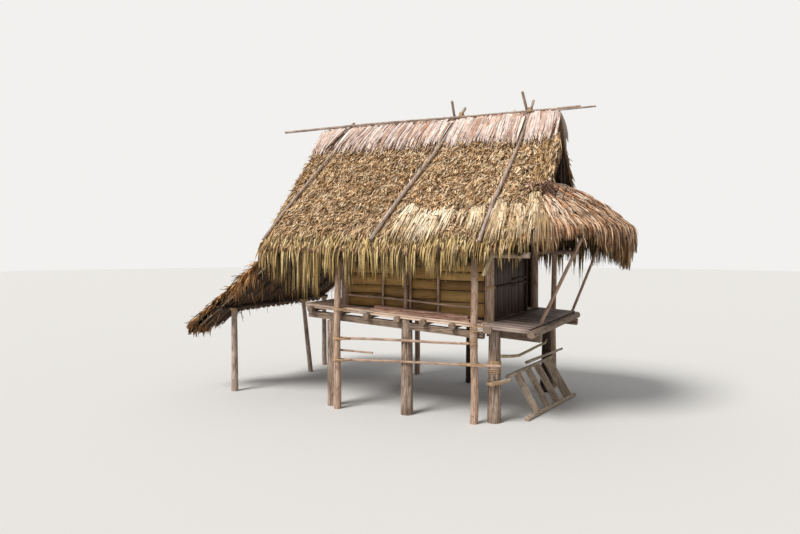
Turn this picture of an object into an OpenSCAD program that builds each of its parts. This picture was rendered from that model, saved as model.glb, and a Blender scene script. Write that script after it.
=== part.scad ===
// Stilt house of logs, split bamboo and leaf thatch.
// X runs along the ridge, the front faces -Y and the ground is Z = 0.

/* [Floor] */
// Length of the raised floor along the ridge
floor_l = 4280; // [3900:20:4600]
// Front edge of the floor, ahead of the ridge
floor_front = 1700; // [1600:10:1800]
// Back edge of the floor, behind the ridge
floor_back = 1580; // [1500:10:1700]
// Height of the floor at the middle of its length
floor_z = 1750; // [1500:10:1900]
// How much lower the right end of the floor lies
floor_fall = 250; // [0:10:300]
// Thickness of the split bamboo floor
floor_t = 35; // [25:5:60]

/* [Frame] */
// Diameter of the floor joists
joist_d = 104; // [80:2:120]
// Side of the squared beams
beam_s = 115; // [90:5:140]
// Diameter of the thick feet
stump_d = 220; // [180:5:260]
// Diameter of the thin eave posts
eave_post_d = 140; // [100:5:160]
// Diameter of the corner posts
corner_d = 165; // [120:5:180]

/* [Room] */
// Middle of the right wall
room_right = 1330; // [1200:10:1400]
// Middle of the left wall
room_left = -1500; // [-1600:10:-1400]
// Middle of the front wall, ahead of the ridge
room_front = 1320; // [1250:10:1400]
// Middle of the back wall, behind the ridge
room_back = 1440; // [1380:10:1480]
// Thickness of the walls
wall_t = 36; // [20:2:50]
// Width of the doorway in the right wall
door_w = 640; // [550:10:700]

/* [Roof] */
// Height of the thatch at the ridge
ridge_z = 5330; // [5000:10:5600]
// Height of the eave line
eave_z = 2880; // [2700:10:3000]
// Overhang of the eave line from the ridge
eave_y = 2080; // [1950:10:2200]
// Left end of the roof at the eave
roof_left = -2930; // [-3100:10:-2900]
// Right end of the roof
roof_right = 2200; // [2100:10:2300]
// Thickness of the thatch, square to the slope
thatch_t = 180; // [120:10:240]
// Thatch courses on each slope
courses = 9; // [5:1:12]
// Step at the lower edge of each course
lip = 28; // [10:2:50]

/* [Skirt] */
// Height of the top of the rounded skirt
skirt_top = 4020; // [3800:10:4200]
// Height of the rim of the skirt
skirt_rim = 3260; // [3050:10:3400]
// Reach of the skirt beyond the right end of the roof
skirt_reach = 1230; // [900:10:1400]
// Step at the lower edge of each course of the skirt
skirt_lip = 40; // [20:2:60]

/* [Lean-to] */
// Left edge of the lean-to roof at its front corner
lean_left = -4780; // [-5000:10:-4500]
// Left edge of the lean-to roof behind the front corner
lean_back_left = -4300; // [-4500:10:-4200]
// Height of the lean-to roof at its left edge
lean_low_z = 1380; // [1200:10:1600]
// Half of the lean-to roof's length from front to back
lean_half = 1950; // [1700:10:2050]
// Thickness of the lean-to thatch
lean_t = 110; // [80:5:150]
// Step at the lower edge of each course of the lean-to
lean_lip = 48; // [20:2:60]

/* [Hidden] */
$fn = 24;

// Slope of the main roof, and its layers counted inwards from the outer face
slope = (ridge_z - eave_z) / eave_y;
pitch = atan(slope);
rafter_d = 70;
plate_d = 120;
eave_pole_d = 100;
under_rafters = thatch_t + rafter_d;
// Slope of the lean-to, from its left edge up to the ledger under the main eave
ledger_x = -2800;
ledger_d = 80;
eave_pole_y = 1750;
eave_pole_z = roof_z(eave_pole_y, under_rafters) - eave_pole_d / 2 / cos(pitch);
ledger_z = eave_pole_z - (eave_pole_d + ledger_d) / 2;
lean_rafter_d = 50;
lean_slope = 0.745;
lean_pitch = atan(lean_slope);
// Middle of the whole house from left to right, with the leaf tips that stand out at both ends
lean_tip = 60;
skirt_tip = 20;
middle_x = (lean_left - lean_tip + roof_right + skirt_reach + skirt_tip) / 2;
fall_angle = atan(floor_fall / floor_l);

// Colours of the woods and leaves
pale_wood = "#a08a74";
tan_wood = "#a3825c";
dark_wood = "#5a4a3e";
grey_wood = "#7d6c5e";
bamboo = "#93774a";
leaf = "#a98f60";
red_wood = "#8f5b3f";
fringe_leaf = "#b3a05e";
cap_leaf = "#c9a98c";
skirt_leaf = "#c39a72";

// Height of the roof above a distance y from the ridge, at depth t under the outer face
function roof_z(y, t = 0) = ridge_z - slope * abs(y) - t / cos(pitch);
// Height of the lean-to roof at x, at depth t under its outer face
function lean_z(x, t = 0) = lean_low_z + (x - lean_left) * lean_slope - t / cos(lean_pitch);
function floor_top(x) = floor_z - floor_fall * x / floor_l;
function joist_z(x) = floor_top(x) - floor_t - joist_d / 2;
function beam_top(x) = floor_top(x) - floor_t - joist_d;
function unit(v) = v / norm(v);
// The same value for the same i each time, from 0 to 1
function scatter(i) = let (s = sin(i * 127.1 + 31) * 437.585) s - floor(s);

// The eave line: its height and its distance from the ridge at x, rising to meet the skirt
turn_x = 1250;
function turn(x) = pow(max(0, (x - turn_x) / (roof_right - turn_x)), 1.6);
function fold_z(x) = eave_z + (skirt_rim - eave_z) * turn(x);
function fold_y(x) = (ridge_z - fold_z(x)) / slope;
// Tips of the hanging leaves along the front and back, with their rise towards the skirt
left_hem = 2290;
hem_slope = 0.05;
front_hem_rise = 410;
back_hem_rise = 40;
function hem_z(x, rise) = left_hem + hem_slope * (x - roof_left) + rise * turn(x);
// Tips round the skirt: low behind, drawn up over the deck at the front and low again at the joint
skirt_hem = 2580;
skirt_hem_rise = 450;
joint_hem = 2810;
joint_angle = -76;
function skirt_hem_z(a) =
  a < joint_angle ? joint_hem : skirt_hem + (a < 0 ? skirt_hem_rise * pow(sin(1.5 * min(-a, 60)), 2) : 0);

// A straight round log from p to q
module log(p, q, d1, d2) {
  v = q - p;
  translate(p) rotate([0, acos(v[2] / norm(v)), atan2(v[1], v[0])])
    cylinder(h = norm(v), d1 = d1, d2 = d2);
}

// A grown pole from p to q that bows sideways and swings along its length
function grown(p, q, bow, swing, steps = 8) =
  let (v = q - p, side = unit(cross(v, [0, 0, 1])), over = unit(cross(side, v)))
  [for (i = [0:steps]) let (f = i / steps)
    p + v * f + side * (bow * sin(180 * f) + swing * sin(430 * f))
      + over * swing * sin(180 * f) * sin(300 * f)];

// A tube with a few sides along a list of points, d1 thick at the first and d2 at the last
module sweep(path, d1, d2, sides = 8) {
  n = len(path);
  rings = [for (i = [0:n - 1])
    let (t = unit(path[min(i + 1, n - 1)] - path[max(i - 1, 0)]),
         u = unit(cross(t, abs(t[2]) > 0.9 ? [1, 0, 0] : [0, 0, 1])),
         w = cross(u, t), r = (d1 + (d2 - d1) * i / (n - 1)) / 2)
    for (k = [0:sides - 1]) path[i] + r * (cos(360 * k / sides) * u + sin(360 * k / sides) * w)];
  walls = [for (i = [0:n - 2]) for (k = [0:sides - 1])
    let (a = i * sides + k, b = i * sides + (k + 1) % sides)
    for (f = [[a, b, b + sides], [a, b + sides, a + sides]]) f];
  polyhedron(rings, concat(walls,
    [[for (k = [sides - 1:-1:0]) k]], [[for (k = [0:sides - 1]) (n - 1) * sides + k]]));
}

// A closed shell between rows of points that all have the same count; the rows go round its section
module loft(rows) {
  n = len(rows);
  m = len(rows[0]);
  sides = [for (i = [0:n - 1]) for (k = [0:m - 2])
    let (a = i * m + k, b = ((i + 1) % n) * m + k)
    for (f = [[a, b, b + 1], [a, b + 1, a + 1]]) f];
  polyhedron([for (r = rows) for (p = r) p], concat(sides,
    [[for (i = [n - 1:-1:0]) i * m]], [[for (i = [0:n - 1]) i * m + m - 1]]));
}

// A profile drawn in Y and Z, drawn out along X
module along_x(from, to) {
  translate([from, 0, 0]) rotate([90, 0, 90]) linear_extrude(to - from) children();
}

// An outline drawn in X and Z, drawn out along Y
module along_y(from, to) {
  translate([0, to, 0]) rotate([90, 0, 0]) linear_extrude(to - from) children();
}

// The frame of the sloping floor: its top is Z = 0
module on_floor() {
  translate([0, 0, floor_z]) rotate([0, fall_angle, 0]) children();
}

module whole() {
  translate([-middle_x, 0, 0]) children();
}

// Feet

front_feet = [[-1580, -1640], [-80, -1600], [1460, -1420]];
back_feet = [[-1560, 1440], [-60, 1440], [1620, 1330]];

// A foot whose top is notched for a squared beam, with a prong left on each side
module forked_foot(p, d, prong) {
  top = beam_top(p[0]);
  difference() {
    log([p[0], p[1], 0], [p[0], p[1], top + prong], d, d * 0.86);
    translate([p[0] - d, p[1] - beam_s / 2, top - beam_s]) cube([2 * d, beam_s, beam_s + prong + 10]);
  }
}

// A squared foot on the left, a forked one in the middle and a round one that carries the last joist
squared_s = 150;

module front_stumps() {
  left = front_feet[0];
  right = front_feet[2];
  color(pale_wood) {
    translate([left[0] - squared_s / 2, left[1] - squared_s / 2, 0])
      cube([squared_s, squared_s, beam_top(left[0] + squared_s / 2 + 5) - beam_s]);
    forked_foot(front_feet[1], stump_d, 60);
    log([right[0], right[1], 0], [right[0], right[1], joist_z(right[0]) - 0.35 * joist_d],
        stump_d * 1.05, stump_d * 0.88);
  }
}

// A dark foot that spreads at the ground
module flared_foot(p, top) {
  translate([p[0], p[1], 0])
    rotate_extrude()
      polygon([[0, 0], [150, 0], [132, 90], [112, 260], [100, 520], [92, 900], [88, top], [0, top]]);
}

module back_stumps() {
  color(dark_wood) {
    for (i = [0:1]) forked_foot(back_feet[i], stump_d * 0.9, 30);
    flared_foot(back_feet[2], beam_top(back_feet[2][0]) - beam_s);
  }
}

// Each thin post as its foot, its bow and its waves along X
front_posts = [[-1385, -1800, -14, 6], [1190, -1660, 12, 12]];
back_posts = [[-1480, 1760, 10, 5], [1660, 1760, -12, 6]];

// A thin post with a level foot that bows and waves along X on its way up to the eave pole
module crooked_post(post, top_y, d1, d2) {
  foot = [post[0], post[1], 0];
  v = [post[0], top_y, eave_pole_z - eave_pole_d / 2] - foot;
  steps = 10;
  sweep(concat([foot, foot + [0, 0, 40]],
               [for (i = [1:steps]) let (f = i / steps)
                 foot + v * f + [post[2] * sin(180 * f) + post[3] * sin(540 * f), 0, 0]]), d1, d2, 12);
}

module front_eave_posts() {
  color(tan_wood) for (p = front_posts)
    crooked_post(p, -eave_pole_y + (p[1] + eave_pole_y) * 0.4, eave_post_d, eave_post_d * 0.8);
}

module back_eave_posts() {
  color(tan_wood) for (p = back_posts) crooked_post(p, eave_pole_y, eave_post_d * 0.9, eave_post_d * 0.75);
}

// Floor frame

joist_x = [-2000, -1400, -800, -200, 300, 830];
sill_y = 1600;
back_sill_y = 1440;

// A squared beam under the joists, with its ends at x0 and x1
module sill(x0, x1, y) {
  on_floor() translate([x0, y - beam_s / 2, -floor_t - joist_d - beam_s]) cube([x1 - x0, beam_s, beam_s]);
}

module front_sill_beam() { color(grey_wood) sill(-2100, front_feet[2][0] - 110, -sill_y); }
module back_sill_beam() { color(grey_wood) sill(-2100, edge_pole_x + 55, back_sill_y); }
module deck_beam() { color(grey_wood) sill(1290, edge_pole_x + 45, -1240); }

// A round joist from front to back, sawn flat where the floor and the beams bear on it
module joist(x, d, front) {
  flat = 0.04 * d;
  on_floor() intersection() {
    translate([x, -front, -floor_t - joist_d / 2]) rotate([-90, 0, 0])
      cylinder(h = front + floor_back + 60, d = d + 2 * flat);
    translate([x - d, -front, -floor_t - joist_d]) cube([2 * d, front + floor_back + 60, joist_d]);
  }
}

module joists() {
  color(grey_wood) {
    for (i = [0:len(joist_x) - 1]) joist(joist_x[i], joist_d, floor_front + 60 + 50 * scatter(i));
    joist(front_feet[2][0], joist_d * 1.3, floor_front + 80);
  }
}

edge_pole_d = 128;
edge_pole_x = floor_l / 2 + 30;

// A thicker log at the open end of the deck, sawn flat underneath and rebated for the deck
module deck_edge_pole() {
  front = floor_front + 30;
  length = front + floor_back + 60;
  color(pale_wood) on_floor() difference() {
    translate([edge_pole_x, -front, -floor_t - joist_d + edge_pole_d / 2 - 4]) rotate([-90, 0, 0])
      cylinder(h = length, d = edge_pole_d);
    translate([edge_pole_x - edge_pole_d, -front - 10, -floor_t])
      cube([floor_l / 2 - edge_pole_x + edge_pole_d, length + 20, edge_pole_d]);
    translate([edge_pole_x - edge_pole_d, -front - 10, -floor_t - joist_d - edge_pole_d])
      cube([2 * edge_pole_d, length + 20, edge_pole_d]);
  }
}

// A sheet of the sloping floor from x0 to x1
module floor_sheet(x0, x1) {
  on_floor() translate([x0, -floor_front, -floor_t]) cube([x1 - x0, floor_front + floor_back, floor_t]);
}

module floor() { color(bamboo) floor_sheet(-floor_l / 2, room_right + 40); }
module deck() { color(bamboo) floor_sheet(room_right + 45, floor_l / 2); }

// Room

plate_z = roof_z(room_front, under_rafters) - plate_d / 2 / cos(pitch);
back_plate_z = roof_z(room_back, under_rafters) - plate_d / 2 / cos(pitch);
room_x = [room_left, room_right];

// A corner post from the floor up to its wall plate, whose axis is at plate
module corner_post(x, y, plate) {
  log([x, y, floor_top(x) - 4], [x, y, plate - plate_d / 2], corner_d, corner_d * 0.9);
}

module corner_posts() {
  color(pale_wood) for (x = room_x) {
    corner_post(x, -room_front, plate_z);
    corner_post(x, room_back, back_plate_z);
  }
}

// An upright wall along X that stands on the sloping floor
module long_wall(y, top) {
  x0 = room_left + corner_d / 2;
  x1 = room_right - corner_d / 2;
  along_y(y - wall_t / 2, y + wall_t / 2)
    polygon([[x0, floor_top(x0)], [x1, floor_top(x1)], [x1, top], [x0, top]]);
}

// An upright wall along Y between two distances
module end_wall(x, from, to, top) {
  foot = floor_top(x + wall_t / 2);
  translate([x - wall_t / 2, from, foot]) cube([wall_t, to - from, top - foot]);
}

door_front = room_back - corner_d / 2 - door_w;

module front_wall() { color(bamboo) long_wall(-room_front, plate_z - plate_d / 2); }
module back_wall() { color(bamboo) long_wall(room_back, back_plate_z - plate_d / 2); }
module left_wall() {
  color(bamboo) end_wall(room_left, -room_front + corner_d / 2, room_back - corner_d / 2, tie_z - tie_d / 2);
}
module right_wall() {
  color(dark_wood) end_wall(room_right, -room_front + corner_d / 2, door_front, tie_z - tie_d / 2);
}

// Upright poles on the outside of the front wall, and a stouter one that stands free of it
wall_pole_x = [-680, -130, 410];
wall_pole_d = 48;
free_pole_x = -195;
free_pole_d = 66;
front_face = -room_front - wall_t / 2;

module front_wall_poles() {
  y = front_face - wall_pole_d / 2 - 2;
  free_y = front_face - 90;
  color(tan_wood) {
    for (x = wall_pole_x)
      log([x, y, floor_top(x)], [x, y, plate_z - plate_d / 2], wall_pole_d, wall_pole_d - 4);
    log([free_pole_x, free_y, floor_top(free_pole_x)],
        [free_pole_x + 8, free_y, roof_z(-free_y, under_rafters)], free_pole_d, free_pole_d - 10);
  }
}

module front_wall_rail() {
  y = front_face - wall_pole_d - 22;
  color(tan_wood) sweep(grown([-1440, y, 2045], [1180, y - 6, 1905], 8, 12), 42, 36);
}

ledge_x = -760;
ledge_board = [1870, 235, 45];
upper_board = [1780, 170, 42];

// Two boards laid along the front edge of the floor, the upper one set back
module front_ledge_boards() {
  color(red_wood) on_floor() {
    translate([ledge_x, -floor_front, 0]) cube(ledge_board);
    translate([ledge_x + 40, -floor_front + 60, ledge_board[2]]) cube(upper_board);
  }
}

// Rails and the door post on the outside of the right wall
module right_wall_frame() {
  face = room_right + wall_t / 2;
  color(dark_wood) {
    log([face + 30, door_front - 30, floor_top(face)], [face + 30, door_front - 30, tie_z], 60, 52);
    log([face + 24, -1190, 2240], [face + 24, -180, 2250], 48, 44);
    log([face + 24, -150, 2330], [face + 24, door_front - 62, 2340], 44, 44);
    log([face + 24, -150, 2235], [face + 24, door_front - 62, 2245], 44, 44);
    log([face + 24, -1190, 2900], [face + 24, door_front - 62, 2900], 48, 44);
  }
}

// Roof frame

tie_d = 110;
tie_z = back_plate_z;
ridge_beam_d = 110;
ridge_beam_z = roof_z(0, under_rafters) - ridge_beam_d / 2 * 0.9;

frame_left = -2650;
frame_right = 2130;

module wall_plates() {
  color(grey_wood) {
    log([frame_left, -room_front, plate_z], [frame_right, -room_front, plate_z], plate_d, plate_d * 0.94);
    log([frame_left, room_back, back_plate_z], [frame_right, room_back, back_plate_z], plate_d, plate_d * 0.94);
  }
}

// The end rafters, and the collar tied across the outer side of each pair
end_rafter_x = [-2560, 2010];
collar_d = 80;
collar_z = skirt_top - 230;
collar_off = (rafter_d + collar_d) / 2 - 4;
collar_x = [end_rafter_x[0] - collar_off, end_rafter_x[1] + collar_off];
collar_half = (roof_z(0, thatch_t + rafter_d / 2) - collar_z) / slope;

// Beams across the room under the king posts, and the collars of the open gables
module tie_beams() {
  color(grey_wood) {
    for (x = room_x)
      log([x, -room_front + plate_d / 2, tie_z], [x, room_back - plate_d / 2, tie_z], tie_d, tie_d);
    for (x = collar_x)
      log([x, -collar_half, collar_z], [x, collar_half, collar_z], collar_d, collar_d * 0.9);
  }
}

module king_posts() {
  color(grey_wood) for (x = room_x)
    log([x, 0, tie_z + tie_d / 2 - 2], [x, 0, ridge_beam_z - ridge_beam_d / 2 + 2], 110, 100);
}

module ridge_beam() {
  color(grey_wood)
    log([frame_left + 10, 0, ridge_beam_z], [roof_right - 40, 0, ridge_beam_z], ridge_beam_d, ridge_beam_d * 0.9);
}

module eave_poles() {
  color(grey_wood) for (y = [-eave_pole_y, eave_pole_y])
    log([ledger_x - 70, y, eave_pole_z], [roof_right - 60, y, eave_pole_z], eave_pole_d, eave_pole_d * 0.96);
}

rafter_x = [end_rafter_x[0], -2000, -1440, -880, -320, 240, 800, 1360, end_rafter_x[1]];

// Round rafters down one slope, from the ridge to just past the eave pole
module rafters(side) {
  t = thatch_t + rafter_d / 2;
  color(dark_wood) for (x = rafter_x) {
    low = min(1900, fold_y(x) + 10);
    log([x, side * 30, roof_z(30, t)], [x, side * low, roof_z(low, t)], rafter_d, rafter_d * 0.85);
  }
}

module front_rafters() { rafters(-1); }
module back_rafters() { rafters(1); }

// Near-upright poles that stiffen each open gable, tied to the outer side of its collar
gable_pole_d = 52;
gable_pole_y = [-560, -300, 260, 580];

module gable_poles() {
  color(dark_wood) for (i = [0, 1]) {
    x = collar_x[i] + (i == 0 ? -1 : 1) * ((collar_d + gable_pole_d) / 2 - 4);
    for (y = gable_pole_y) let (top_y = y * 0.72)
      log([x, y, collar_z - 100], [x, top_y, roof_z(top_y, thatch_t - 10)], gable_pole_d, gable_pole_d * 0.85);
  }
}

// Thatch

// Outer edge of a stepped slope in Y and Z: each course ends in a lip that stands proud
function course_points(side, length) =
  [for (k = [0:courses - 1]) for (e = [0, 1])
    let (s = (k + e) * length / courses, t = e == 0 ? lip : 0)
    [side * (s * cos(pitch) - t * sin(pitch)), ridge_z - s * sin(pitch) - t * cos(pitch)]];

// Right ends of the two slopes in X and Z, down to the skirt: the front one bulges over the gable
front_verge = [[roof_right - 60, ridge_z + 10], [roof_right + 20, 5030], [roof_right + 80, 4700],
               [roof_right + 110, 4480], [roof_right + 100, skirt_top + 20]];
back_verge = [[roof_right - 30, ridge_z + 10]];

// One slope: the stepped profile, cut to its ends and to the eave line
module slope_slab(side) {
  length = norm([eave_y, ridge_z - eave_z]) + 20;
  inner = thatch_t / cos(pitch);
  cut = [for (x = [roof_right:-100:turn_x]) [x, fold_z(x)]];
  intersection() {
    along_x(roof_left - 50, roof_right + 200)
      polygon(concat([[0, ridge_z - inner]], course_points(side, length),
                     [[side * eave_y, ridge_z - inner - slope * eave_y]]));
    along_y(-eave_y - 100, eave_y + 100)
      polygon(concat([[roof_left + 150, ridge_z + 10]], side < 0 ? front_verge : back_verge,
                     [[roof_right, skirt_top + 20]], cut, [[roof_left, eave_z]]));
  }
}

module front_thatch() { color(leaf) slope_slab(-1); }
module back_thatch() { color(leaf) slope_slab(1); }

// A saddle of long leaves over the ridge, ragged along both lower edges
module ridge_cap() {
  t = 52 / cos(pitch);
  reach = 470;
  low = ridge_z - slope * reach;
  x0 = roof_left + 130;
  x1 = roof_right - 60;
  teeth = 34;
  step = (x1 - x0) / teeth;
  edge = [for (i = [0:teeth]) [x0 + i * step, reach - 190 * (i % 2) * (0.4 + 0.6 * scatter(i + 3))]];
  color(cap_leaf) intersection() {
    along_x(x0, x1) polygon([[-reach, low], [0, ridge_z], [reach, low], [reach, low + t],
                             [60, ridge_z + t - slope * 60], [25, ridge_z + t - 45],
                             [-25, ridge_z + t - 45], [-60, ridge_z + t - slope * 60], [-reach, low + t]]);
    translate([0, 0, ridge_z - 1000])
      linear_extrude(1200) polygon(concat(edge, [for (i = [teeth:-1:0]) [edge[i][0], -edge[i][1]]]));
  }
}

// A hanging sheet of leaf tips: tops and tips are points with a direction that points inwards
module hanging(tops, ins, tips) {
  last = len(tops) - 1;
  loft([tops,
        [for (i = [0:last]) [tips[i][0], tips[i][1], tips[i][2]]],
        [for (i = [0:last]) tips[i] + 34 * ins[i]],
        [for (i = [0:last]) tops[i] + 78 * ins[i]]]);
}

// The fringe along one long eave; every second tip is drawn up
module long_fringe(side) {
  steps = 56;
  rise = side < 0 ? front_hem_rise : back_hem_rise;
  xs = side < 0 ? [for (i = [0:steps]) roof_left + (roof_right - roof_left) * i / steps]
                : [for (i = [steps:-1:0]) roof_left + (roof_right - roof_left) * i / steps];
  hanging([for (x = xs) [x, side * fold_y(x), fold_z(x)]],
          [for (x = xs) [0, -side, 0]],
          [for (i = [0:steps]) let (x = xs[i])
            [x, side * (fold_y(x) + 30), hem_z(x, rise) + (i % 2) * (70 + 110 * scatter(i))]]);
}

module front_fringe() { color(fringe_leaf) long_fringe(-1); }
module back_fringe() { color(fringe_leaf) long_fringe(1); }

// Skirt

// Half-widths of the skirt at height z: along X it swells out, along Y it follows the roof slope
function skirt_a(z) = skirt_reach * pow(max(0, skirt_top - z) / (skirt_top - skirt_rim), 0.7);
function skirt_b(z) = (ridge_z - z) / slope;
function skirt_point(z, a, drop, out) =
  [roof_right + (skirt_a(z) + out) * cos(a), (skirt_b(z) + out) * sin(a), z - drop];

skirt_steps = 30;
skirt_courses = 4;
skirt_t = 150;
skirt_angles = [for (i = [0:skirt_steps]) -90 + 180 * i / skirt_steps];

skirt_course_h = (skirt_top - skirt_rim) / skirt_courses;

// Height of the lower edge of course k at the step i round the skirt; every second tuft is drawn up
function tuft_z(k, i) = skirt_top - k * skirt_course_h
  + (k > 0 && k < skirt_courses ? (i % 2) * skirt_course_h * (0.15 + 0.25 * scatter(5 * k + i)) : 0);

module right_skirt() {
  outer = [for (k = [0:skirt_courses - 1]) for (e = [0, 1])
    [for (i = [0:skirt_steps])
      skirt_point(tuft_z(k + e, i), skirt_angles[i], 0,
                  (e == 0 && k > 0 ? -skirt_lip : 0) - 8 * scatter(k + e + 50))]];
  inner = [for (z = [skirt_rim + skirt_t, skirt_rim + 420, skirt_top])
    [for (a = skirt_angles) skirt_point(z, a, skirt_t, -lip - (z == skirt_rim + 420 ? 12 : 0))]];
  color(skirt_leaf) loft(concat(outer, inner));
}

module skirt_fringe() {
  ins = [for (a = skirt_angles) [-cos(a), -sin(a), 0]];
  color(skirt_leaf) hanging(
    [for (a = skirt_angles) skirt_point(skirt_rim, a, 0, 0)], ins,
    [for (i = [0:skirt_steps]) let (a = skirt_angles[i], p = skirt_point(skirt_rim, a, 0, skirt_tip))
      [p[0], p[1], skirt_hem_z(a) + (i % 2) * (60 + 90 * scatter(i + 70))]]);
}

rib_d = 44;
rim_pole_d = 60;

// Middle of the bent rim pole at angle a, under the lower ends of the ribs
function rim_point(a) = skirt_point(skirt_rim + skirt_t + 60, a, skirt_t + 82, -lip);

// Ribs that lie over the right collar, carry the skirt and fan out to its rim
module skirt_ribs() {
  drop = skirt_t + rib_d / 2 - 2;
  color(dark_wood) for (a = [-60, -36, -12, 12, 36, 60]) {
    top = skirt_point(skirt_top, a, drop, -lip);
    sweep(concat([[collar_x[1] - 50, top[1], top[2]], top],
                 [for (z = [skirt_rim + 420, skirt_rim + skirt_t + 10]) skirt_point(z, a, drop, -lip)]),
          rib_d, rib_d * 0.9);
  }
}

module skirt_rim_pole() {
  color(dark_wood) sweep([for (a = [-84:14:84]) rim_point(a)], rim_pole_d, rim_pole_d);
}

// Poles that lean out from the edge of the deck to the rim pole
module skirt_struts() {
  under = [0, 0, -rim_pole_d / 2];
  color(tan_wood) {
    log([2090, -890, floor_top(2090)], rim_point(-45) + under, 62, 52);
    log([2095, 1500, floor_top(2095)], rim_point(55) + under, 56, 48);
  }
}

// Poles on the roof

// A hold-down pole on one slope, from above the ridge to the eave
module hold_down(x_top, x_low, side, over, d, low) {
  lift = d / 2 + 8;
  top = [x_top, -side * over, roof_z(0) + 70 + slope * over];
  foot = [x_low, side * low, roof_z(low) + lift / cos(pitch)];
  sweep([for (i = [0:8]) let (f = i / 8) top + (foot - top) * f + [38 * sin(310 * f), 0, 22 * sin(180 * f)]],
        d * 0.8, d);
}

module front_hold_down_poles() {
  color(grey_wood) {
    hold_down(-2130, -2880, -1, 60, 58, 1980);
    hold_down(300, -560, -1, 170, 74, 1990);
    hold_down(1640, 1420, -1, 190, 62, 2010);
  }
}

module back_hold_down_poles() {
  color(grey_wood) {
    hold_down(-2060, -2700, 1, 60, 56, 1980);
    hold_down(190, -420, 1, 230, 62, 1990);
    hold_down(1560, 1480, 1, 260, 66, 2010);
  }
}

module ridge_poles() {
  y = 78;
  z = ridge_z + 62;
  color(grey_wood) {
    sweep(grown([-3780, -y, z + 4], [2560, -y, z], 14, 14, 12), 52, 34);
    sweep(grown([-2300, y, z - 4], [2790, y, z + 4], -12, 12, 12), 46, 32);
  }
}

// Lean-to

lean_top_x = ledger_x - ledger_d / 2 + 5;
lean_courses = 6;
lean_steps = 44;
corner_end = -1350;
corner_turn = 400;

// The low edge at y: far out at the front corner, drawn back behind it
function lean_edge(y) = let (f = min(1, max(0, (y - corner_end) / corner_turn)))
  lean_left + (lean_back_left - lean_left) * f * f * (3 - 2 * f);

// The lower end of course k at step j, where y is; every second tuft is drawn up the slope
function tuft_x(k, j, y) = let (run = (lean_edge(y) - lean_top_x) / lean_courses)
  lean_top_x + run * (k - (k > 0 && k < lean_courses ? (j % 2) * (0.15 + 0.3 * scatter(7 * k + j)) : 0));

// Stepped courses of tufts, from the ledger down to leaf tips that hang over the low edge
module lean_to_thatch() {
  ys = [for (j = [0:lean_steps]) lean_half - 2 * lean_half * j / lean_steps];
  outer = [for (k = [0:lean_courses - 1]) for (e = [0, 1])
    [for (j = [0:lean_steps]) let (x = tuft_x(k + e, j, ys[j]))
      [x, ys[j], lean_z(x, e == 0 ? lean_lip : (j % 2) * 18)]]];
  hang = [for (y = ys) y < corner_end ? 235 : 180];
  hem = [for (in = [0, 40])
    [for (j = [0:lean_steps]) let (x = lean_edge(ys[j]))
      [x - lean_tip + in, ys[j], lean_z(x) - hang[j] + (j % 2) * (30 + 50 * scatter(j + 40))]]];
  inner = [for (in = [30, 0])
    [for (y = ys) let (x = in == 0 ? lean_top_x : lean_edge(y) + in) [x, y, lean_z(x, lean_t)]]];
  color(leaf) loft(concat(outer, hem, inner));
}

lean_rafter_y = [-1690, -1130, -560, 0, 560, 1130, 1690];

// A pole of the lean-to at y, from low_x up to the ledger, tied under it
module lean_to_rafter(y, low_x, d) {
  low = [low_x, y, lean_z(low_x, lean_t + d / 2)];
  under_ledger = [ledger_x, y, ledger_z - (ledger_d + d - 6) / 2 / cos(lean_pitch)];
  log(low, under_ledger + 90 * unit(under_ledger - low), d * 0.95, d);
}

module lean_to_rafters() {
  color(dark_wood) for (y = lean_rafter_y) lean_to_rafter(y, lean_edge(y) + 120, lean_rafter_d);
}

// The pale pole under the front rake
module lean_to_rake_pole() { color(pale_wood) lean_to_rafter(-1870, lean_left + 45, lean_rafter_d - 4); }

low_purlin_x = -4020;
low_purlin_d = 72;
low_purlin_z = lean_z(low_purlin_x, lean_t + lean_rafter_d + 4) - low_purlin_d / 2 / cos(lean_pitch);

module lean_to_purlins() {
  color(dark_wood) {
    log([ledger_x, -1900, ledger_z], [ledger_x, 1900, ledger_z], ledger_d, ledger_d * 0.95);
    log([low_purlin_x, -1910, low_purlin_z], [low_purlin_x, 1900, low_purlin_z],
        low_purlin_d, low_purlin_d * 0.94);
  }
}

module lean_to_posts() {
  top = low_purlin_z - 30;
  color(grey_wood) {
    log([-4020, -1510, 0], [-4010, -1520, top], 140, 112);
    log([-3810, 880, 0], [-4010, 880, top], 110, 90);
    log([-4020, 1780, 0], [-4020, 1780, top], 120, 100);
  }
}

// Rails tied to the thin front posts under the floor
module under_floor_rails() {
  left = [-1385, -1702, 0];
  right = [1190, -1758, 0];
  color(tan_wood) {
    sweep(grown(left + [-30, 0, 1270], right + [-60, 0, 1345], -6, 8), 48, 42);
    sweep(grown(left + [-10, 0, 1050], [-700, -1716, 1052], 0, 4, 4), 40, 36);
    sweep(grown(left + [-20, 0, 875], [1690, -1768, 1020], -6, 9), 48, 40);
  }
}

// The ladder, set down on its edge against the right feet
ladder_low = [[1930, -1120, 42], [2240, 1080, 42]];
ladder_high = [[1572, -1075, 715], [1800, 1150, 745]];

module ladder_rails() {
  color(pale_wood) {
    log(ladder_low[0], ladder_low[1], 84, 76);
    log(ladder_high[0], ladder_high[1], 66, 60);
    log([1604, -40, 798], [1822, 1800, 808], 58, 46);
    log([1452, -1640, 668], [1718, -1360, 730], 62, 56);
  }
}

// Four boards between the ladder's rails, flat across its plane, as [place along it, width]
step_boards = [[0.2, 125], [0.42, 120], [0.62, 130], [0.86, 170]];
step_board_t = 26;

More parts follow.
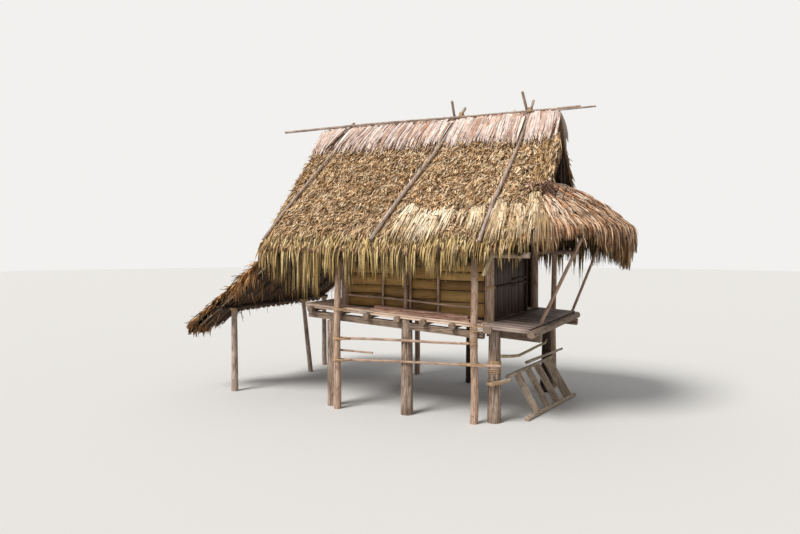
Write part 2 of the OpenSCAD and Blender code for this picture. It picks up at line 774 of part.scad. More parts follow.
module ladder_boards() {
  low = ladder_low;
  high = ladder_high;
  color(pale_wood) for (b = step_boards) {
    p = low[0] + (low[1] - low[0]) * b[0];
    v = high[0] + (high[1] - high[0]) * (b[0] - 0.02) - p;
    translate(p) rotate([0, acos(v[2] / norm(v)), atan2(v[1], v[0])])
      translate([-b[1] / 2, -step_board_t / 2, 36]) cube([b[1], step_board_t, norm(v) - 64]);
  }
}

// The bent branch under the deck and the bamboo end that hangs under the right eave
branch = [[1575, -1425, 1120], [1640, -1100, 1075], [1680, -765, 1040], [1700, -143, 1049],
          [1700, 399, 1050], [1700, 909, 1040], [1640, 1240, 1060]];

module loose_poles() {
  color(grey_wood) sweep(branch, 56, 44);
  color(bamboo) log([1640, -1900, 2960], [1450, -1960, 2480], 66, 62);
}

whole() {
  front_stumps();
  back_stumps();
  front_eave_posts();
  back_eave_posts();
  front_sill_beam();
  back_sill_beam();
  deck_beam();
  joists();
  deck_edge_pole();
  floor();
  deck();
  corner_posts();
  front_wall();
  back_wall();
  left_wall();
  right_wall();
  front_wall_poles();
  front_wall_rail();
  front_ledge_boards();
  right_wall_frame();
  wall_plates();
  tie_beams();
  king_posts();
  ridge_beam();
  eave_poles();
  front_rafters();
  back_rafters();
  gable_poles();
  front_thatch();
  back_thatch();
  ridge_cap();
  front_fringe();
  back_fringe();
  right_skirt();
  skirt_fringe();
  skirt_ribs();
  skirt_rim_pole();
  skirt_struts();
  front_hold_down_poles();
  back_hold_down_poles();
  ridge_poles();
  lean_to_thatch();
  lean_to_rafters();
  lean_to_rake_pole();
  lean_to_purlins();
  lean_to_posts();
  under_floor_rails();
  ladder_rails();
  ladder_boards();
  loose_poles();
}
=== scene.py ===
import math

import bmesh
import bpy
import numpy as np
from bpy.props import FloatProperty, FloatVectorProperty, IntProperty
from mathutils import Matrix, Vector
from mathutils.bvhtree import BVHTree


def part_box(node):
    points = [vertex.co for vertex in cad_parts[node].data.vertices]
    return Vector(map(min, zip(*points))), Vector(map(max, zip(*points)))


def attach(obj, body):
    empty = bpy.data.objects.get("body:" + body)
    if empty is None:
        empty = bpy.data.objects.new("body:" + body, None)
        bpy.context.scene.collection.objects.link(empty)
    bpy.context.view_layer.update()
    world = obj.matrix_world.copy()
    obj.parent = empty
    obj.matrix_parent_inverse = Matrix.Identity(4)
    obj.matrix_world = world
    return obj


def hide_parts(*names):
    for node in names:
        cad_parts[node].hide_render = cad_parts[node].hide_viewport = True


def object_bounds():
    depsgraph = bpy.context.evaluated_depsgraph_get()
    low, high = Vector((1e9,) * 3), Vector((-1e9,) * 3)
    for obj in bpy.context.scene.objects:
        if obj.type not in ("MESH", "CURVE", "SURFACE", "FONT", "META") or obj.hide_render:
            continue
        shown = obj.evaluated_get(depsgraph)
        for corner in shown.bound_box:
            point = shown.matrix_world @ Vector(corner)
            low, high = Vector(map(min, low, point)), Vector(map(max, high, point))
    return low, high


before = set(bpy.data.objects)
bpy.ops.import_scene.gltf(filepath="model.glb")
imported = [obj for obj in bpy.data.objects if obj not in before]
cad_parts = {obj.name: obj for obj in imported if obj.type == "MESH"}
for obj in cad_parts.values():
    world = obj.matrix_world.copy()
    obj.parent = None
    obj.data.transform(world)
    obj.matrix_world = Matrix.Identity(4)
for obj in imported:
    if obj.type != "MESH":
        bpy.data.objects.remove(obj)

bl_info = {
    "name": "Stilt house",
    "version": (1, 0, 0),
    "blender": (4, 5, 0),
    "location": "3D View > Sidebar > Stilt House",
    "description": "Thatch, bamboo, wood and lashings for a raised house of logs",
    "category": "Object",
}

CAD_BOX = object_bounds()
ROOT = "root"
X, Y, Z = np.eye(3)
DOWN = -Z

# In metres: where drops start, how far a surface is searched for, and how far under a leaf a pole
# counts as covered. Faces whose normal rises less than this get no leaves
HIGH_UP = 9.0
SEARCH = 0.25
COVERED = 0.2
LEAST_RISE = 0.05

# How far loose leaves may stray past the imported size, and how much of the rest is pulled back
SPARE = np.array([0.09, 0.03, 0.05])
PULL = 0.85

# Slopes of the main roof and of the lean-to
PITCH = math.atan(1.178)
LEAN_PITCH = math.atan(0.745)
RIDGE_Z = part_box("front_thatch")[1].z
FRONT_SLOPE = (0, -math.cos(PITCH), -math.sin(PITCH))
BACK_SLOPE = (0, math.cos(PITCH), -math.sin(PITCH))
LEAN_SLOPE = (0.8, 0, 0.6)

# The nodes of the two long slopes: the front one faces -Y
SLABS = {-1: "front_thatch", 1: "back_thatch"}
POLES = {-1: "front_hold_down_poles", 1: "back_hold_down_poles"}

# The way in which the bamboo end under the right eave looks out between the leaves
BAMBOO_SIDE = (0.35, -0.94, 0.0)

# Mottling of a leaf and chips of old leaf in mm, the turns of the wave that makes a blade's ribs,
# cracks in wood some grains apart, and the share of broad patches in its tone
MOTTLE_MM = 35
CHIP_MM = 40
RIB_TURNS = 31.4
CRACK_GRAINS = 2.6
PATCH_SHARE = 0.35


# Colours and shader nodes

def linear(code):
    """Linear colour of an sRGB hex code"""
    parts = [int(code[i:i + 2], 16) / 255 for i in (1, 3, 5)]
    return tuple(c / 12.92 if c <= 0.04045 else ((c + 0.055) / 1.055) ** 2.4
                 for c in parts) + (1.0,)


def add(tree, kind, feeds=None, stops=None, **options):
    """Adds a shader node with its options, its inputs and a ramp's stops. An input takes a value,
    a socket, or a node for that node's first socket"""
    made = tree.nodes.new("ShaderNode" + kind)
    for key, value in options.items():
        setattr(made, key, value)
    for key, value in (feeds or {}).items():
        if isinstance(value, bpy.types.Node):
            value = value.outputs[0]
        if isinstance(value, bpy.types.NodeSocket):
            tree.links.new(value, made.inputs[key])
        else:
            made.inputs[key].default_value = value
    if stops:
        ramp = made.color_ramp.elements
        first, *middle, last = stops.items()
        for element, (place, code) in zip((ramp[0], ramp[1]), (first, last)):
            element.position, element.color = place, linear(code)
        for place, code in middle:
            ramp.new(place).color = linear(code)
    return made


def new_tree(name):
    """An empty material and its node tree"""
    material = bpy.data.materials.new(name)
    material.use_nodes = True
    material.node_tree.nodes.clear()
    return material, material.node_tree


def blade_inputs(tree):
    """Sockets for the three parts of a blade's tone, for the place across and along it, and for
    the place in the house"""
    tone = add(tree, "Attribute", attribute_name="tone")
    blade = add(tree, "UVMap", uv_map="blade")
    parts = add(tree, "SeparateXYZ", {0: tone.outputs["Vector"]}).outputs
    return *parts, *add(tree, "SeparateXYZ", {0: blade}).outputs[:2], object_place(tree)


def object_place(tree):
    """The socket for the place in the house"""
    return add(tree, "TexCoord").outputs["Object"]


def finish_material(tree, color, shade, height, roughness, depth, shine=0.3):
    """Closes a material: a colour with its shading, roughness, and a bump of a depth in metres"""
    if shade:
        color = add(tree, "Mix", {0: 1.0, 6: color, 7: shade},
                    data_type="RGBA", blend_type="MULTIPLY").outputs[2]
    bump = add(tree, "Bump", {"Height": height, "Strength": 0.9, "Distance": depth})
    shader = add(tree, "BsdfPrincipled", {"Base Color": color, "Roughness": roughness,
                                          "Specular IOR Level": shine, "Normal": bump})
    add(tree, "OutputMaterial", {"Surface": shader})


def leaf_material(name, stops, tip, deepest_shade):
    """Dry palm leaf: each blade has its own tone, fine ribs along it, mottling, broad patches and
    a browner tip, and is darker deep in the pile, partly from age and partly as painted shade"""
    material, tree = new_tree(name)
    hue, light, depth, across, along, where = blade_inputs(tree)
    mottle = add(tree, "TexNoise",
                 {"Vector": where, "Scale": 1000 / MOTTLE_MM, "Detail": 3.0, "Roughness": 0.6})
    swing = add(tree, "Math", {0: mottle, 1: 0.5, 2: hue}, operation="MULTIPLY_ADD")
    pick = add(tree, "Math", {0: swing, 1: 0.25}, operation="SUBTRACT")
    color = add(tree, "ValToRGB", {0: pick}, stops)
    turns = add(tree, "Math", {0: across, 1: RIB_TURNS}, operation="MULTIPLY")
    rib = add(tree, "Math", {0: turns}, operation="SINE")
    shade = add(tree, "MapRange", {0: light, 3: 0.72, 4: 1.18})
    drift = add(tree, "TexNoise", {"Vector": where, "Scale": 7.0, "Detail": 2.0})
    patch = add(tree, "MapRange", {0: drift, 1: 0.35, 2: 0.65, 3: 0.82, 4: 1.1})
    # Blades deeper in the pile are darker: partly age, partly painted shade of the pile
    deep = add(tree, "MapRange", {0: depth, 3: deepest_shade, 4: 1.0})
    ribbed = add(tree, "Math", {0: rib, 1: 0.05, 2: 0.97}, operation="MULTIPLY_ADD")
    for factor in (patch, deep, ribbed):
        shade = add(tree, "Math", {0: shade, 1: factor}, operation="MULTIPLY")
    browned = add(tree, "MapRange", {0: along, 1: 0.7, 2: 1.0, 3: 0.0, 4: 0.55})
    tipped = add(tree, "Mix", {0: browned, 6: color, 7: linear(tip)}, data_type="RGBA")
    rough = add(tree, "MapRange", {0: mottle, 3: 0.5, 4: 0.8})
    height = add(tree, "Math", {0: rib, 1: 0.3, 2: mottle}, operation="MULTIPLY_ADD")
    finish_material(tree, tipped.outputs[2], shade, height, rough, 0.0012)
    return material


def wood_material(name, along, stops, grain_mm, crack=0.5, depth=0.004):
    """Weathered wood: long grain along the piece, drying cracks, and broad patches of grey and
    brown"""
    material, tree = new_tree(name)
    turn = Vector(along).rotation_difference(Vector(Z)).to_euler()
    upright = add(tree, "Mapping", {0: object_place(tree), "Rotation": turn})
    lengthwise = add(tree, "Mapping", {0: upright, "Scale": (1, 1, 0.045)})
    longer = add(tree, "Mapping", {0: upright, "Scale": (1, 1, 0.09)})
    grain = add(tree, "TexNoise", {"Vector": lengthwise, "Scale": 1000 / grain_mm,
                                   "Detail": 5.0, "Roughness": 0.65})
    patch = add(tree, "TexNoise", {"Vector": upright, "Scale": 4.5, "Detail": 3.0})
    split = add(tree, "TexVoronoi", {"Vector": longer, "Scale": 1000 / (grain_mm * CRACK_GRAINS),
                                     "Randomness": 1.0}, feature="DISTANCE_TO_EDGE")
    gap = add(tree, "MapRange", {0: split, 1: 0.0, 2: 0.07, 3: 1.0 - crack, 4: 1.0})
    mixed = add(tree, "Math", {0: patch, 1: PATCH_SHARE, 2: grain}, operation="MULTIPLY_ADD")
    centred = add(tree, "Math", {0: mixed, 1: PATCH_SHARE / 2}, operation="SUBTRACT")
    color = add(tree, "ValToRGB", {0: centred}, stops)
    rough = add(tree, "MapRange", {0: grain, 3: 0.9, 4: 0.6})
    height = add(tree, "Math", {0: gap, 1: 1.4, 2: grain}, operation="MULTIPLY_ADD")
    finish_material(tree, color, gap, height, rough, depth, 0.25)
    return material


def litter_material(name, stops):
    """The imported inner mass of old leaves, broken up, seen only between the outer blades"""
    material, tree = new_tree(name)
    where = object_place(tree)
    chips = add(tree, "TexVoronoi", {"Vector": where, "Scale": 1000 / CHIP_MM})
    fine = add(tree, "TexNoise", {"Vector": where, "Scale": 2200 / CHIP_MM, "Detail": 4.0})
    both = add(tree, "Math", {0: chips, 1: fine}, operation="MULTIPLY")
    color = add(tree, "ValToRGB", {0: both}, stops)
    finish_material(tree, color, None, both, 0.9, 0.02, 0.1)
    return material


def strip_material(name, stops, lines):
    """Split bamboo, reed or board: fine lines along each strip, its own tone and broad stains"""
    material, tree = new_tree(name)
    hue, light, _, across, along, where = blade_inputs(tree)
    wide = add(tree, "Math", {0: across, 1: float(lines)}, operation="MULTIPLY")
    shifted = add(tree, "Math", {0: hue, 1: 40.0}, operation="MULTIPLY")
    seat = add(tree, "CombineXYZ", {0: wide, 1: along, 2: shifted})
    lined = add(tree, "TexNoise", {"Vector": seat, "Scale": 2.0, "Detail": 4.0, "Roughness": 0.6})
    stain = add(tree, "TexNoise", {"Vector": where, "Scale": 5.0, "Detail": 4.0})
    mixed = add(tree, "Math", {0: lined, 1: 0.9, 2: hue}, operation="MULTIPLY_ADD")
    spread = add(tree, "Math", {0: stain, 1: 0.9, 2: mixed}, operation="MULTIPLY_ADD")
    pick = add(tree, "MapRange", {0: spread, 1: 0.55, 2: 2.2})
    color = add(tree, "ValToRGB", {0: pick}, stops)
    lit = add(tree, "MapRange", {0: light, 3: 0.78, 4: 1.1})
    split = add(tree, "MapRange", {0: lined, 1: 0.36, 2: 0.46, 3: 0.55, 4: 1.0})
    shade = add(tree, "Math", {0: lit, 1: split}, operation="MULTIPLY")
    finish_material(tree, color, shade, lined, 0.62, 0.002)
    return material


# Blades and strips: one is modelled, then strewn

def open_pattern(kind, **options):
    """Adds a primitive round the middle of the unit length on Y and opens it in edit mode"""
    getattr(bpy.ops.mesh, f"primitive_{kind}_add")(location=(0, 0.5, 0), **options)
    bpy.ops.object.transform_apply()
    bpy.ops.object.mode_set(mode="EDIT")
    return bpy.context.object


def select_vertices(pattern, test):
    """In edit mode, selects the vertices that pass a test on their place"""
    bm = bmesh.from_edit_mesh(pattern.data)
    for v in bm.verts:
        v.select = bool(test(v.co))
    bm.select_flush_mode()
    bmesh.update_edit_mesh(pattern.data)


def cut_levels(levels, normal=(0, 1, 0)):
    """In edit mode, cuts the whole mesh across at each level along a normal"""
    for level in levels:
        bpy.ops.mesh.select_all(action="SELECT")
        bpy.ops.mesh.bisect(plane_co=[level * n for n in normal], plane_no=normal)


def shape_of(pattern):
    """The points and faces of a modelled pattern, which is then removed"""
    bpy.ops.object.mode_set(mode="OBJECT")
    points = np.array([v.co[:] for v in pattern.data.vertices])
    faces = [tuple(p.vertices) for p in pattern.data.polygons]
    bpy.data.objects.remove(pattern)
    return points, faces


def model_blade(cuts, widths, fold):
    """A leaf blade one unit long on Y and one wide on X, folded down its middle"""
    blade = open_pattern("plane", size=1)
    cut_levels(cuts)
    cut_levels([0], (1, 0, 0))
    select_vertices(blade, lambda co: abs(co.x) < 1e-4)
    bpy.ops.transform.translate(value=(0, 0, -fold))
    for level, width in zip([0, *cuts, 1], widths):
        select_vertices(blade, lambda co: abs(co.y - level) < 1e-4)
        bpy.ops.transform.resize(value=(width, 1, 1), center_override=(0, level, 0))
    return shape_of(blade)


def model_strip(cuts, thickness, crown):
    """A flat strip one unit long on Y and one wide on X, its outer face narrower than its back"""
    strip = open_pattern("cube", size=1)
    bpy.ops.transform.resize(value=(1, 1, thickness), center_override=(0, 0, 0))
    cut_levels(cuts)
    select_vertices(strip, lambda co: co.z > 0)
    bpy.ops.transform.resize(value=(crown, 1, 1), center_override=(0, 0.5, 0))
    return shape_of(strip)


def model_cane(cuts, sides):
    """A round cane one unit long on Y and one thick"""
    cane = open_pattern("cylinder", vertices=sides, radius=0.5, depth=1,
                        rotation=(-math.pi / 2, 0, 0))
    cut_levels(cuts)
    return shape_of(cane)


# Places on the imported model

def node_points(name):
    """The corners of a CAD node"""
    return np.array([v.co[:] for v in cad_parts[name].data.vertices])


def search_tree(*names):
    """A search tree over the faces of CAD nodes"""
    points, faces = [], []
    for name in names:
        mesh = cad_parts[name].data
        first = len(points)
        points += [v.co.copy() for v in mesh.vertices]
        faces += [[first + i for i in p.vertices] for p in mesh.polygons]
    return BVHTree.FromPolygons(points, faces)


def drop(tree, x, y):
    """The place and the normal where a drop from above meets a surface"""
    return tree.ray_cast(Vector((x, y, HIGH_UP)), Vector((0, 0, -1)))[:2]


def heights_on(tree, x, y):
    """The heights of a surface under a row of places"""
    return np.array([drop(tree, *spot)[0].z for spot in zip(x, y)])


def rain(tree, count, low, high, rng):
    """Points and normals where even, jittered drops from above meet a surface"""
    low = np.array(low)[:2]
    span = np.array(high)[:2] - low
    columns = max(1, round(math.sqrt(count * (span[0] / span[1]))))
    rows = max(1, round(count / columns))
    cells = np.stack(np.indices((columns, rows)), 2) + rng.random((columns, rows, 2))
    hits = [drop(tree, *spot) for spot in (low + span * cells / (columns, rows)).reshape(-1, 2)]
    hits = [(spot[:], normal[:]) for spot, normal in hits
            if spot is not None and normal.z > LEAST_RISE]
    return (np.array(x) for x in zip(*hits))


def keep_out(points, tree, clearance):
    """Lifts points that lie nearer to a surface than their clearance, or inside it"""
    for i, p in enumerate(points):
        spot, normal, _, _ = tree.find_nearest(Vector(p), SEARCH)
        if spot is None:
            continue
        out = (Vector(p) - spot).dot(normal)
        if out < clearance[i]:
            points[i] = p + np.array(normal) * (clearance[i] - out)


def lay_on(points, tree, clearance, outward):
    """Lifts points along one direction until they clear the outermost surface there"""
    away = Vector(outward)
    for i, p in enumerate(points):
        spot = tree.ray_cast(Vector(p) + away, -away, 2.0)[0]
        if spot is not None:
            rise = (spot - Vector(p)).dot(away) + clearance[i]
            points[i] = p + np.array(away) * max(rise, 0.0)


def beside(points, tree, reach):
    """How near each point lies to a pole, from 0 at the pole to 1 at the reach"""
    near = [tree.find_nearest(Vector(p), reach)[3] for p in points]
    return np.array([1.0 if n is None else n / reach for n in near])


def clear_of(points, tree, normal):
    """Which copies leave the outer side of the poles free"""
    inward = -Vector(normal)
    return np.array([not any(tree.ray_cast(Vector(p), inward, COVERED)[0] for p in copy)
                     for copy in points])


# Directions, one row for each copy

def unit(v):
    """Rows of v scaled to length one"""
    return v / np.maximum(np.linalg.norm(v, axis=1), 1e-9)[:, None]


def square_to(direction, face):
    """Face directions made square to the directions along"""
    return unit(face - (face * direction).sum(1)[:, None] * direction)


def downhill(normals):
    """The steepest way down at each normal"""
    return unit(DOWN + normals * normals[:, 2:3])


def turned(direction, normal, angle):
    """Directions turned about their normals"""
    a = np.broadcast_to(angle, len(direction))[:, None]
    return direction * np.cos(a) + np.cross(normal, direction) * np.sin(a)


def tilted(direction, normal, angle):
    """Directions tilted out along their normals"""
    a = np.broadcast_to(angle, len(direction))[:, None]
    return direction * np.cos(a) + normal * np.sin(a)


def slope_frame(side, count):
    """The outward normal and the way down of a long slope"""
    sine, cosine = math.sin(PITCH), math.cos(PITCH)
    return (np.tile(v, (count, 1))
            for v in ((0.0, side * sine, cosine), (0.0, side * cosine, -sine)))


# Copies of a blade

def drawn(rng, value, count):
    """A number for each copy: a pair is a range to draw from"""
    if isinstance(value, tuple):
        value = rng.uniform(*value, count)
    return np.broadcast_to(value, count).astype(float)


def swung(rng, value, count):
    """A number for each copy: a single one is the spread of a bell curve about zero"""
    if np.ndim(value) == 0 and value:
        value = rng.normal(0, value, count)
    return np.broadcast_to(value, count).astype(float)


def strew(rng, shape, root, aim, face, length, width, droop=0.0, curl=0.0, twist=0.0, tree=None,
          clearance=0.01, outward=None):
    """Points of many bent copies of a blade: one row of places for each copy"""
    points = shape[0]
    count = len(root)
    length, width, droop = (drawn(rng, x, count) for x in (length, width, droop))
    curl, twist = (swung(rng, x, count) for x in (curl, twist))
    clearance = drawn(rng, clearance, count)
    levels = np.unique(points[:, 1].round(5))
    d = unit(np.broadcast_to(aim, (count, 3)).astype(float))
    f = square_to(d, np.broadcast_to(face, (count, 3)).astype(float))
    p = root.astype(float).copy()
    spine, sides, tops = [p], [np.cross(d, f)], [f]
    for step in np.diff(levels):
        d = unit(d + f * (curl * step)[:, None] + DOWN * (droop * length * step)[:, None])
        p = p + d * (length * step)[:, None]
        if tree is not None:
            if outward is None:
                keep_out(p, tree, clearance)
            else:
                lay_on(p, tree, clearance, outward)
            d = unit(p - spine[-1])
        f = square_to(d, f)
        turn = (twist * step)[:, None]
        f = f * np.cos(turn) + np.cross(d, f) * np.sin(turn)
        spine.append(p)
        sides.append(np.cross(d, f))
        tops.append(f)
    row = np.searchsorted(levels, points[:, 1].round(5))
    spine, sides, tops = (np.stack(x, 1)[:, row] for x in (spine, sides, tops))
    w = width[:, None, None]
    return spine + sides * points[None, :, 0, None] * w + tops * points[None, :, 2, None] * w


def tone_of(rng, count, depth, low=0.0, high=1.0):
    """A random hue and lightness for each copy, and how far out in the pile it lies"""
    depth = drawn(rng, depth, count)
    return np.stack([rng.uniform(low, high, count), rng.random(count), depth], 1)


def laid(rng, shape, *how, depth=1.0, tones=(0.0, 1.0), clear=(), **more):
    """A group for one mesh: the shape, its strewn copies and their tones. Copies that would cover
    poles are left out: clear pairs the poles' search tree with their outer side"""
    made = strew(rng, shape, *how, **more)
    tone = tone_of(rng, len(made), depth, *tones)
    keep = np.full(len(made), True)
    for tree, normal in clear:
        keep &= clear_of(made, tree, normal)
    return shape, made[keep], tone[keep]


def held_in(points):
    """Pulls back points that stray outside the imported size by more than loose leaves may"""
    low, high = np.array(CAD_BOX[0]) - SPARE, np.array(CAD_BOX[1]) + SPARE
    return points - PULL * np.maximum(points - high, 0) + PULL * np.maximum(low - points, 0)


def linked(name, data):
    """A new object with its data, linked to the scene"""
    made = bpy.data.objects.new(name, data)
    bpy.context.collection.objects.link(made)
    return made


def joined(name, groups, material, slot, *replaced):
    """One mesh from groups of copies: each group is a shape, its copies' points and their tones"""
    points, places, tones, corners, sizes, first = [], [], [], [], [], 0
    for (pattern, faces), made, tone in groups:
        count, each = made.shape[:2]
        points.append(made.reshape(-1, 3))
        places.append(np.tile(pattern[:, :2] + (0.5, 0.0), (count, 1)))
        tones.append(np.repeat(tone, each, axis=0))
        starts = first + np.arange(count)[:, None] * each
        for f in faces:
            corners.append((starts + np.array(f)).ravel())
            sizes.append(np.full(count, len(f)))
        first += count * each
    points, places, tones, corners, sizes = (
        np.concatenate(x) for x in (points, places, tones, corners, sizes))
    mesh = bpy.data.meshes.new(name)
    mesh.vertices.add(len(points))
    mesh.loops.add(len(corners))
    mesh.polygons.add(len(sizes))
    tone = mesh.attributes.new("tone", "FLOAT_VECTOR", "POINT")
    for rows, field, values, kind in (
            (mesh.vertices, "co", held_in(points), np.float32),
            (mesh.loops, "vertex_index", corners, np.int32),
            (mesh.polygons, "loop_start", np.cumsum(sizes) - sizes, np.int32),
            (mesh.polygons, "loop_total", sizes, np.int32),
            (tone.data, "vector", tones, np.float32)):
        rows.foreach_set(field, values.astype(kind).ravel())
    mesh.update(calc_edges=True)
    blade = mesh.uv_layers.new(name="blade")
    blade.data.foreach_set("uv", places[corners].astype(np.float32).ravel())
    place_piece(linked(name, mesh), material, slot, *replaced)


def place_piece(piece, material, slot, *replaced):
    """Gives a finished piece its material, its body and the nodes that it stands for; its slot is
    not used
    """
    piece.data.materials.append(material)
    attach(piece, ROOT)
    if replaced:
        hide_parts(*replaced)


class ThatchSettings(bpy.types.PropertyGroup):
    """How the roof leaves are made"""
    field_count: IntProperty(
        name="Field leaves", description="Outer leaves on the front slope", default=15000)
    field_length: FloatProperty(
        name="Field leaf", description="Mean length of a broken leaf", default=0.15, unit="LENGTH")
    field_width: FloatProperty(
        name="Field width", description="Mean width of a broken leaf", default=0.02, unit="LENGTH")
    pile: FloatProperty(
        name="Pile", description="Depth of the loose outer leaves", default=0.035, unit="LENGTH")
    fringe_count: IntProperty(
        name="Fringe leaves", description="Leaves along each eave", default=2600)
    fringe_width: FloatProperty(
        name="Fringe width", description="Mean width of a hanging blade", default=0.026,
        unit="LENGTH")
    skirt_count: IntProperty(
        name="Skirt leaves", description="Leaves on the rounded skirt", default=5000)
    seed: IntProperty(name="Seed", description="Start of the random draws", default=7)


class StageSettings(bpy.types.PropertyGroup):
    """The camera, the lamps and the floor"""
    eye: FloatVectorProperty(
        name="Eye", description="Place of the camera", default=(5.789, -12.077, 3.007),
        subtype="TRANSLATION", unit="LENGTH")
    heading: FloatProperty(
        name="Heading", description="Turn of the camera about Z", default=math.radians(26.88),
        subtype="ANGLE")
    dip: FloatProperty(
        name="Dip", description="How far the camera looks down", default=math.radians(2.09),
        subtype="ANGLE")
    lens: FloatProperty(
        name="Lens", description="Focal length on a 36 mm sensor", default=30.24,
        subtype="DISTANCE_CAMERA")
    sun: FloatProperty(name="Sun", description="Strength of the main lamp", default=3.4)
    sky: FloatProperty(name="Sky", description="Strength of the light from all round", default=0.5)
    floor_color: FloatVectorProperty(
        name="Floor colour", description="Colour of the plain floor",
        default=linear("#cfccc7")[:3], subtype="COLOR")


# The main lamp, in degrees
SUN_TURN = (39, -8, -12)
SUN_SPREAD = 24


class HOUSE_OT_stage(bpy.types.Operator):
    """The floor, the lamps and the camera"""
    bl_idname = "house.stage"
    bl_label = "Stage"

    def execute(self, context):
        settings = context.scene.house_stage
        bpy.ops.mesh.primitive_circle_add(vertices=64, radius=70, fill_type="NGON")
        ground = context.object
        ground.name = "floor_plane"
        material, tree = new_tree("Plain floor")
        shader = add(tree, "BsdfPrincipled",
                     {"Base Color": (*settings.floor_color, 1), "Roughness": 0.9})
        add(tree, "OutputMaterial", {"Surface": shader})
        ground.data.materials.append(material)
        lamp = bpy.data.lights.new("sun", "SUN")
        lamp.energy, lamp.angle = settings.sun, math.radians(SUN_SPREAD)
        linked("sun", lamp).rotation_euler = [math.radians(a) for a in SUN_TURN]
        world = context.scene.world = bpy.data.worlds.new("Soft room")
        world.use_nodes = True
        sky = world.node_tree
        sky.nodes.clear()
        seen = add(sky, "LightPath").outputs
        lit = add(sky, "Background", {"Color": linear("#f4f6fa"), "Strength": settings.sky})
        back = add(sky, "Background", {"Color": linear("#f2f1ef"), "Strength": 1.0})
        mirrored = add(sky, "Math", {0: seen["Is Camera Ray"], 1: seen["Is Glossy Ray"]},
                       operation="MAXIMUM")
        shown = add(sky, "Math", {0: mirrored, 1: seen["Is Transmission Ray"]},
                    operation="MAXIMUM")
        either = add(sky, "MixShader", {0: shown, 1: lit, 2: back})
        add(sky, "OutputWorld", {"Surface": either})
        camera = bpy.data.cameras.new("camera")
        camera.lens, camera.sensor_width = settings.lens, 36
        holder = context.scene.camera = linked("camera", camera)
        holder.location = settings.eye
        holder.rotation_euler = (math.pi / 2 - settings.dip, 0, settings.heading)
        context.scene.view_settings.view_transform = "Standard"
        return {"FINISHED"}


LOG = {0.3: "#423228", 0.45: "#85705f", 0.6: "#aa9584", 0.75: "#d4c3b2"}
BEAM = {0.3: "#4a3a30", 0.45: "#7e6a5b", 0.6: "#98826f", 0.75: "#b5a18c"}
DARK = {0.3: "#1d1510", 0.5: "#3a2c22", 0.7: "#5d4a3b"}
TAN = {0.3: "#705847", 0.45: "#ad8f79", 0.6: "#c5a790", 0.75: "#dcc5b1"}
RED = {0.3: "#563d34", 0.5: "#926e5c", 0.7: "#c2a28c"}
GREY = {0.3: "#66554a", 0.5: "#b09a8a", 0.7: "#dac6b6"}
BARE = {0.3: "#7a6655", 0.5: "#b39f8a", 0.7: "#d8c8b4"}
CANE = {0.3: "#7c6c50", 0.5: "#b4a27c", 0.7: "#dccda6"}
VINE = {0.0: "#8a6a50", 0.5: "#bc9b78", 1.0: "#dec4a2"}

# Finishes of the timber: name, way of the grain, colours, grain in mm and the nodes
FINISHES = [
    ("Weathered log, upright", Z, LOG, 16, "front_stumps"),
    ("Weathered log, along", X, BEAM, 14, "front_sill_beam back_sill_beam deck_beam"),
    ("Weathered log, across", Y, BEAM, 14, "joists deck_edge_pole"),
    ("Peeled pole, upright", Z, TAN, 12,
     "front_eave_posts back_eave_posts front_wall_poles corner_posts"),
    ("Peeled pole, slanted", (0.4, -0.2, 0.9), TAN, 12, "skirt_struts"),
    ("Peeled pole, along", X, TAN, 10, "front_wall_rail under_floor_rails"),
    ("Smoked wood, upright", Z, DARK, 14,
     "back_stumps right_wall right_wall_frame gable_poles skirt_ribs skirt_rim_pole"),
    ("Smoked wood, front slope", FRONT_SLOPE, DARK, 12, "front_rafters"),
    ("Smoked wood, back slope", BACK_SLOPE, DARK, 12, "back_rafters"),
    ("Smoked wood, lean-to slope", LEAN_SLOPE, DARK, 12, "lean_to_rafters"),
    ("Smoked wood, across", Y, DARK, 12, "lean_to_purlins"),
    ("Smoked wood, along", X, DARK, 12, "front_wall back_wall left_wall floor deck"),
    ("Grey pole, along", X, GREY, 10, "wall_plates ridge_beam eave_poles ridge_poles"),
    ("Grey pole, across", Y, GREY, 10, "tie_beams"),
    ("Grey pole, upright", Z, GREY, 10, "king_posts lean_to_posts"),
    ("Bamboo and branch", (0.3, 0, 0.95), CANE, 10, "loose_poles"),
    ("Grey pole, front slope", FRONT_SLOPE, GREY, 10, "front_hold_down_poles"),
    ("Grey pole, back slope", BACK_SLOPE, GREY, 10, "back_hold_down_poles"),
    ("Grey pole, lean-to slope", LEAN_SLOPE, GREY, 10, "lean_to_rake_pole"),
    ("Reddish board, along", X, RED, 12, "front_ledge_boards"),
    ("Bare wood, across", Y, BARE, 10, "ladder_rails"),
    ("Bare wood, upright", (-0.5, 0, 0.85), BARE, 10, "ladder_boards"),
]

# Finishes of the old leaves under the loose ones: the first two are dark old leaves, darkened
# further as painted shade for the gaps between the loose leaves; the ridge's stays pale
LITTERS = [
    ("Old leaf mass", {0.0: "#1c130b", 0.5: "#3c2b19", 1.0: "#5e4629"},
     "right_skirt lean_to_thatch front_fringe back_fringe skirt_fringe"),
    ("Old leaf mass, field", {0.0: "#33241a", 0.5: "#6b5038", 1.0: "#8f7250"},
     "front_thatch back_thatch"),
    ("Old leaf mass, ridge", {0.0: "#a08474", 0.5: "#dbc2b2", 1.0: "#f0e0d4"}, "ridge_cap"),
]


class HOUSE_OT_timber(bpy.types.Operator):
    """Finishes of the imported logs, poles, beams and old leaves"""
    bl_idname = "house.timber"
    bl_label = "Timber"

    def execute(self, context):
        made = [(wood_material(*finish), nodes) for *finish, nodes in FINISHES]
        made += [(litter_material(*finish), nodes) for *finish, nodes in LITTERS]
        for material, nodes in made:
            for node in nodes.split():
                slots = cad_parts[node].data.materials
                slots.clear()
                slots.append(material)
        return {"FINISHED"}
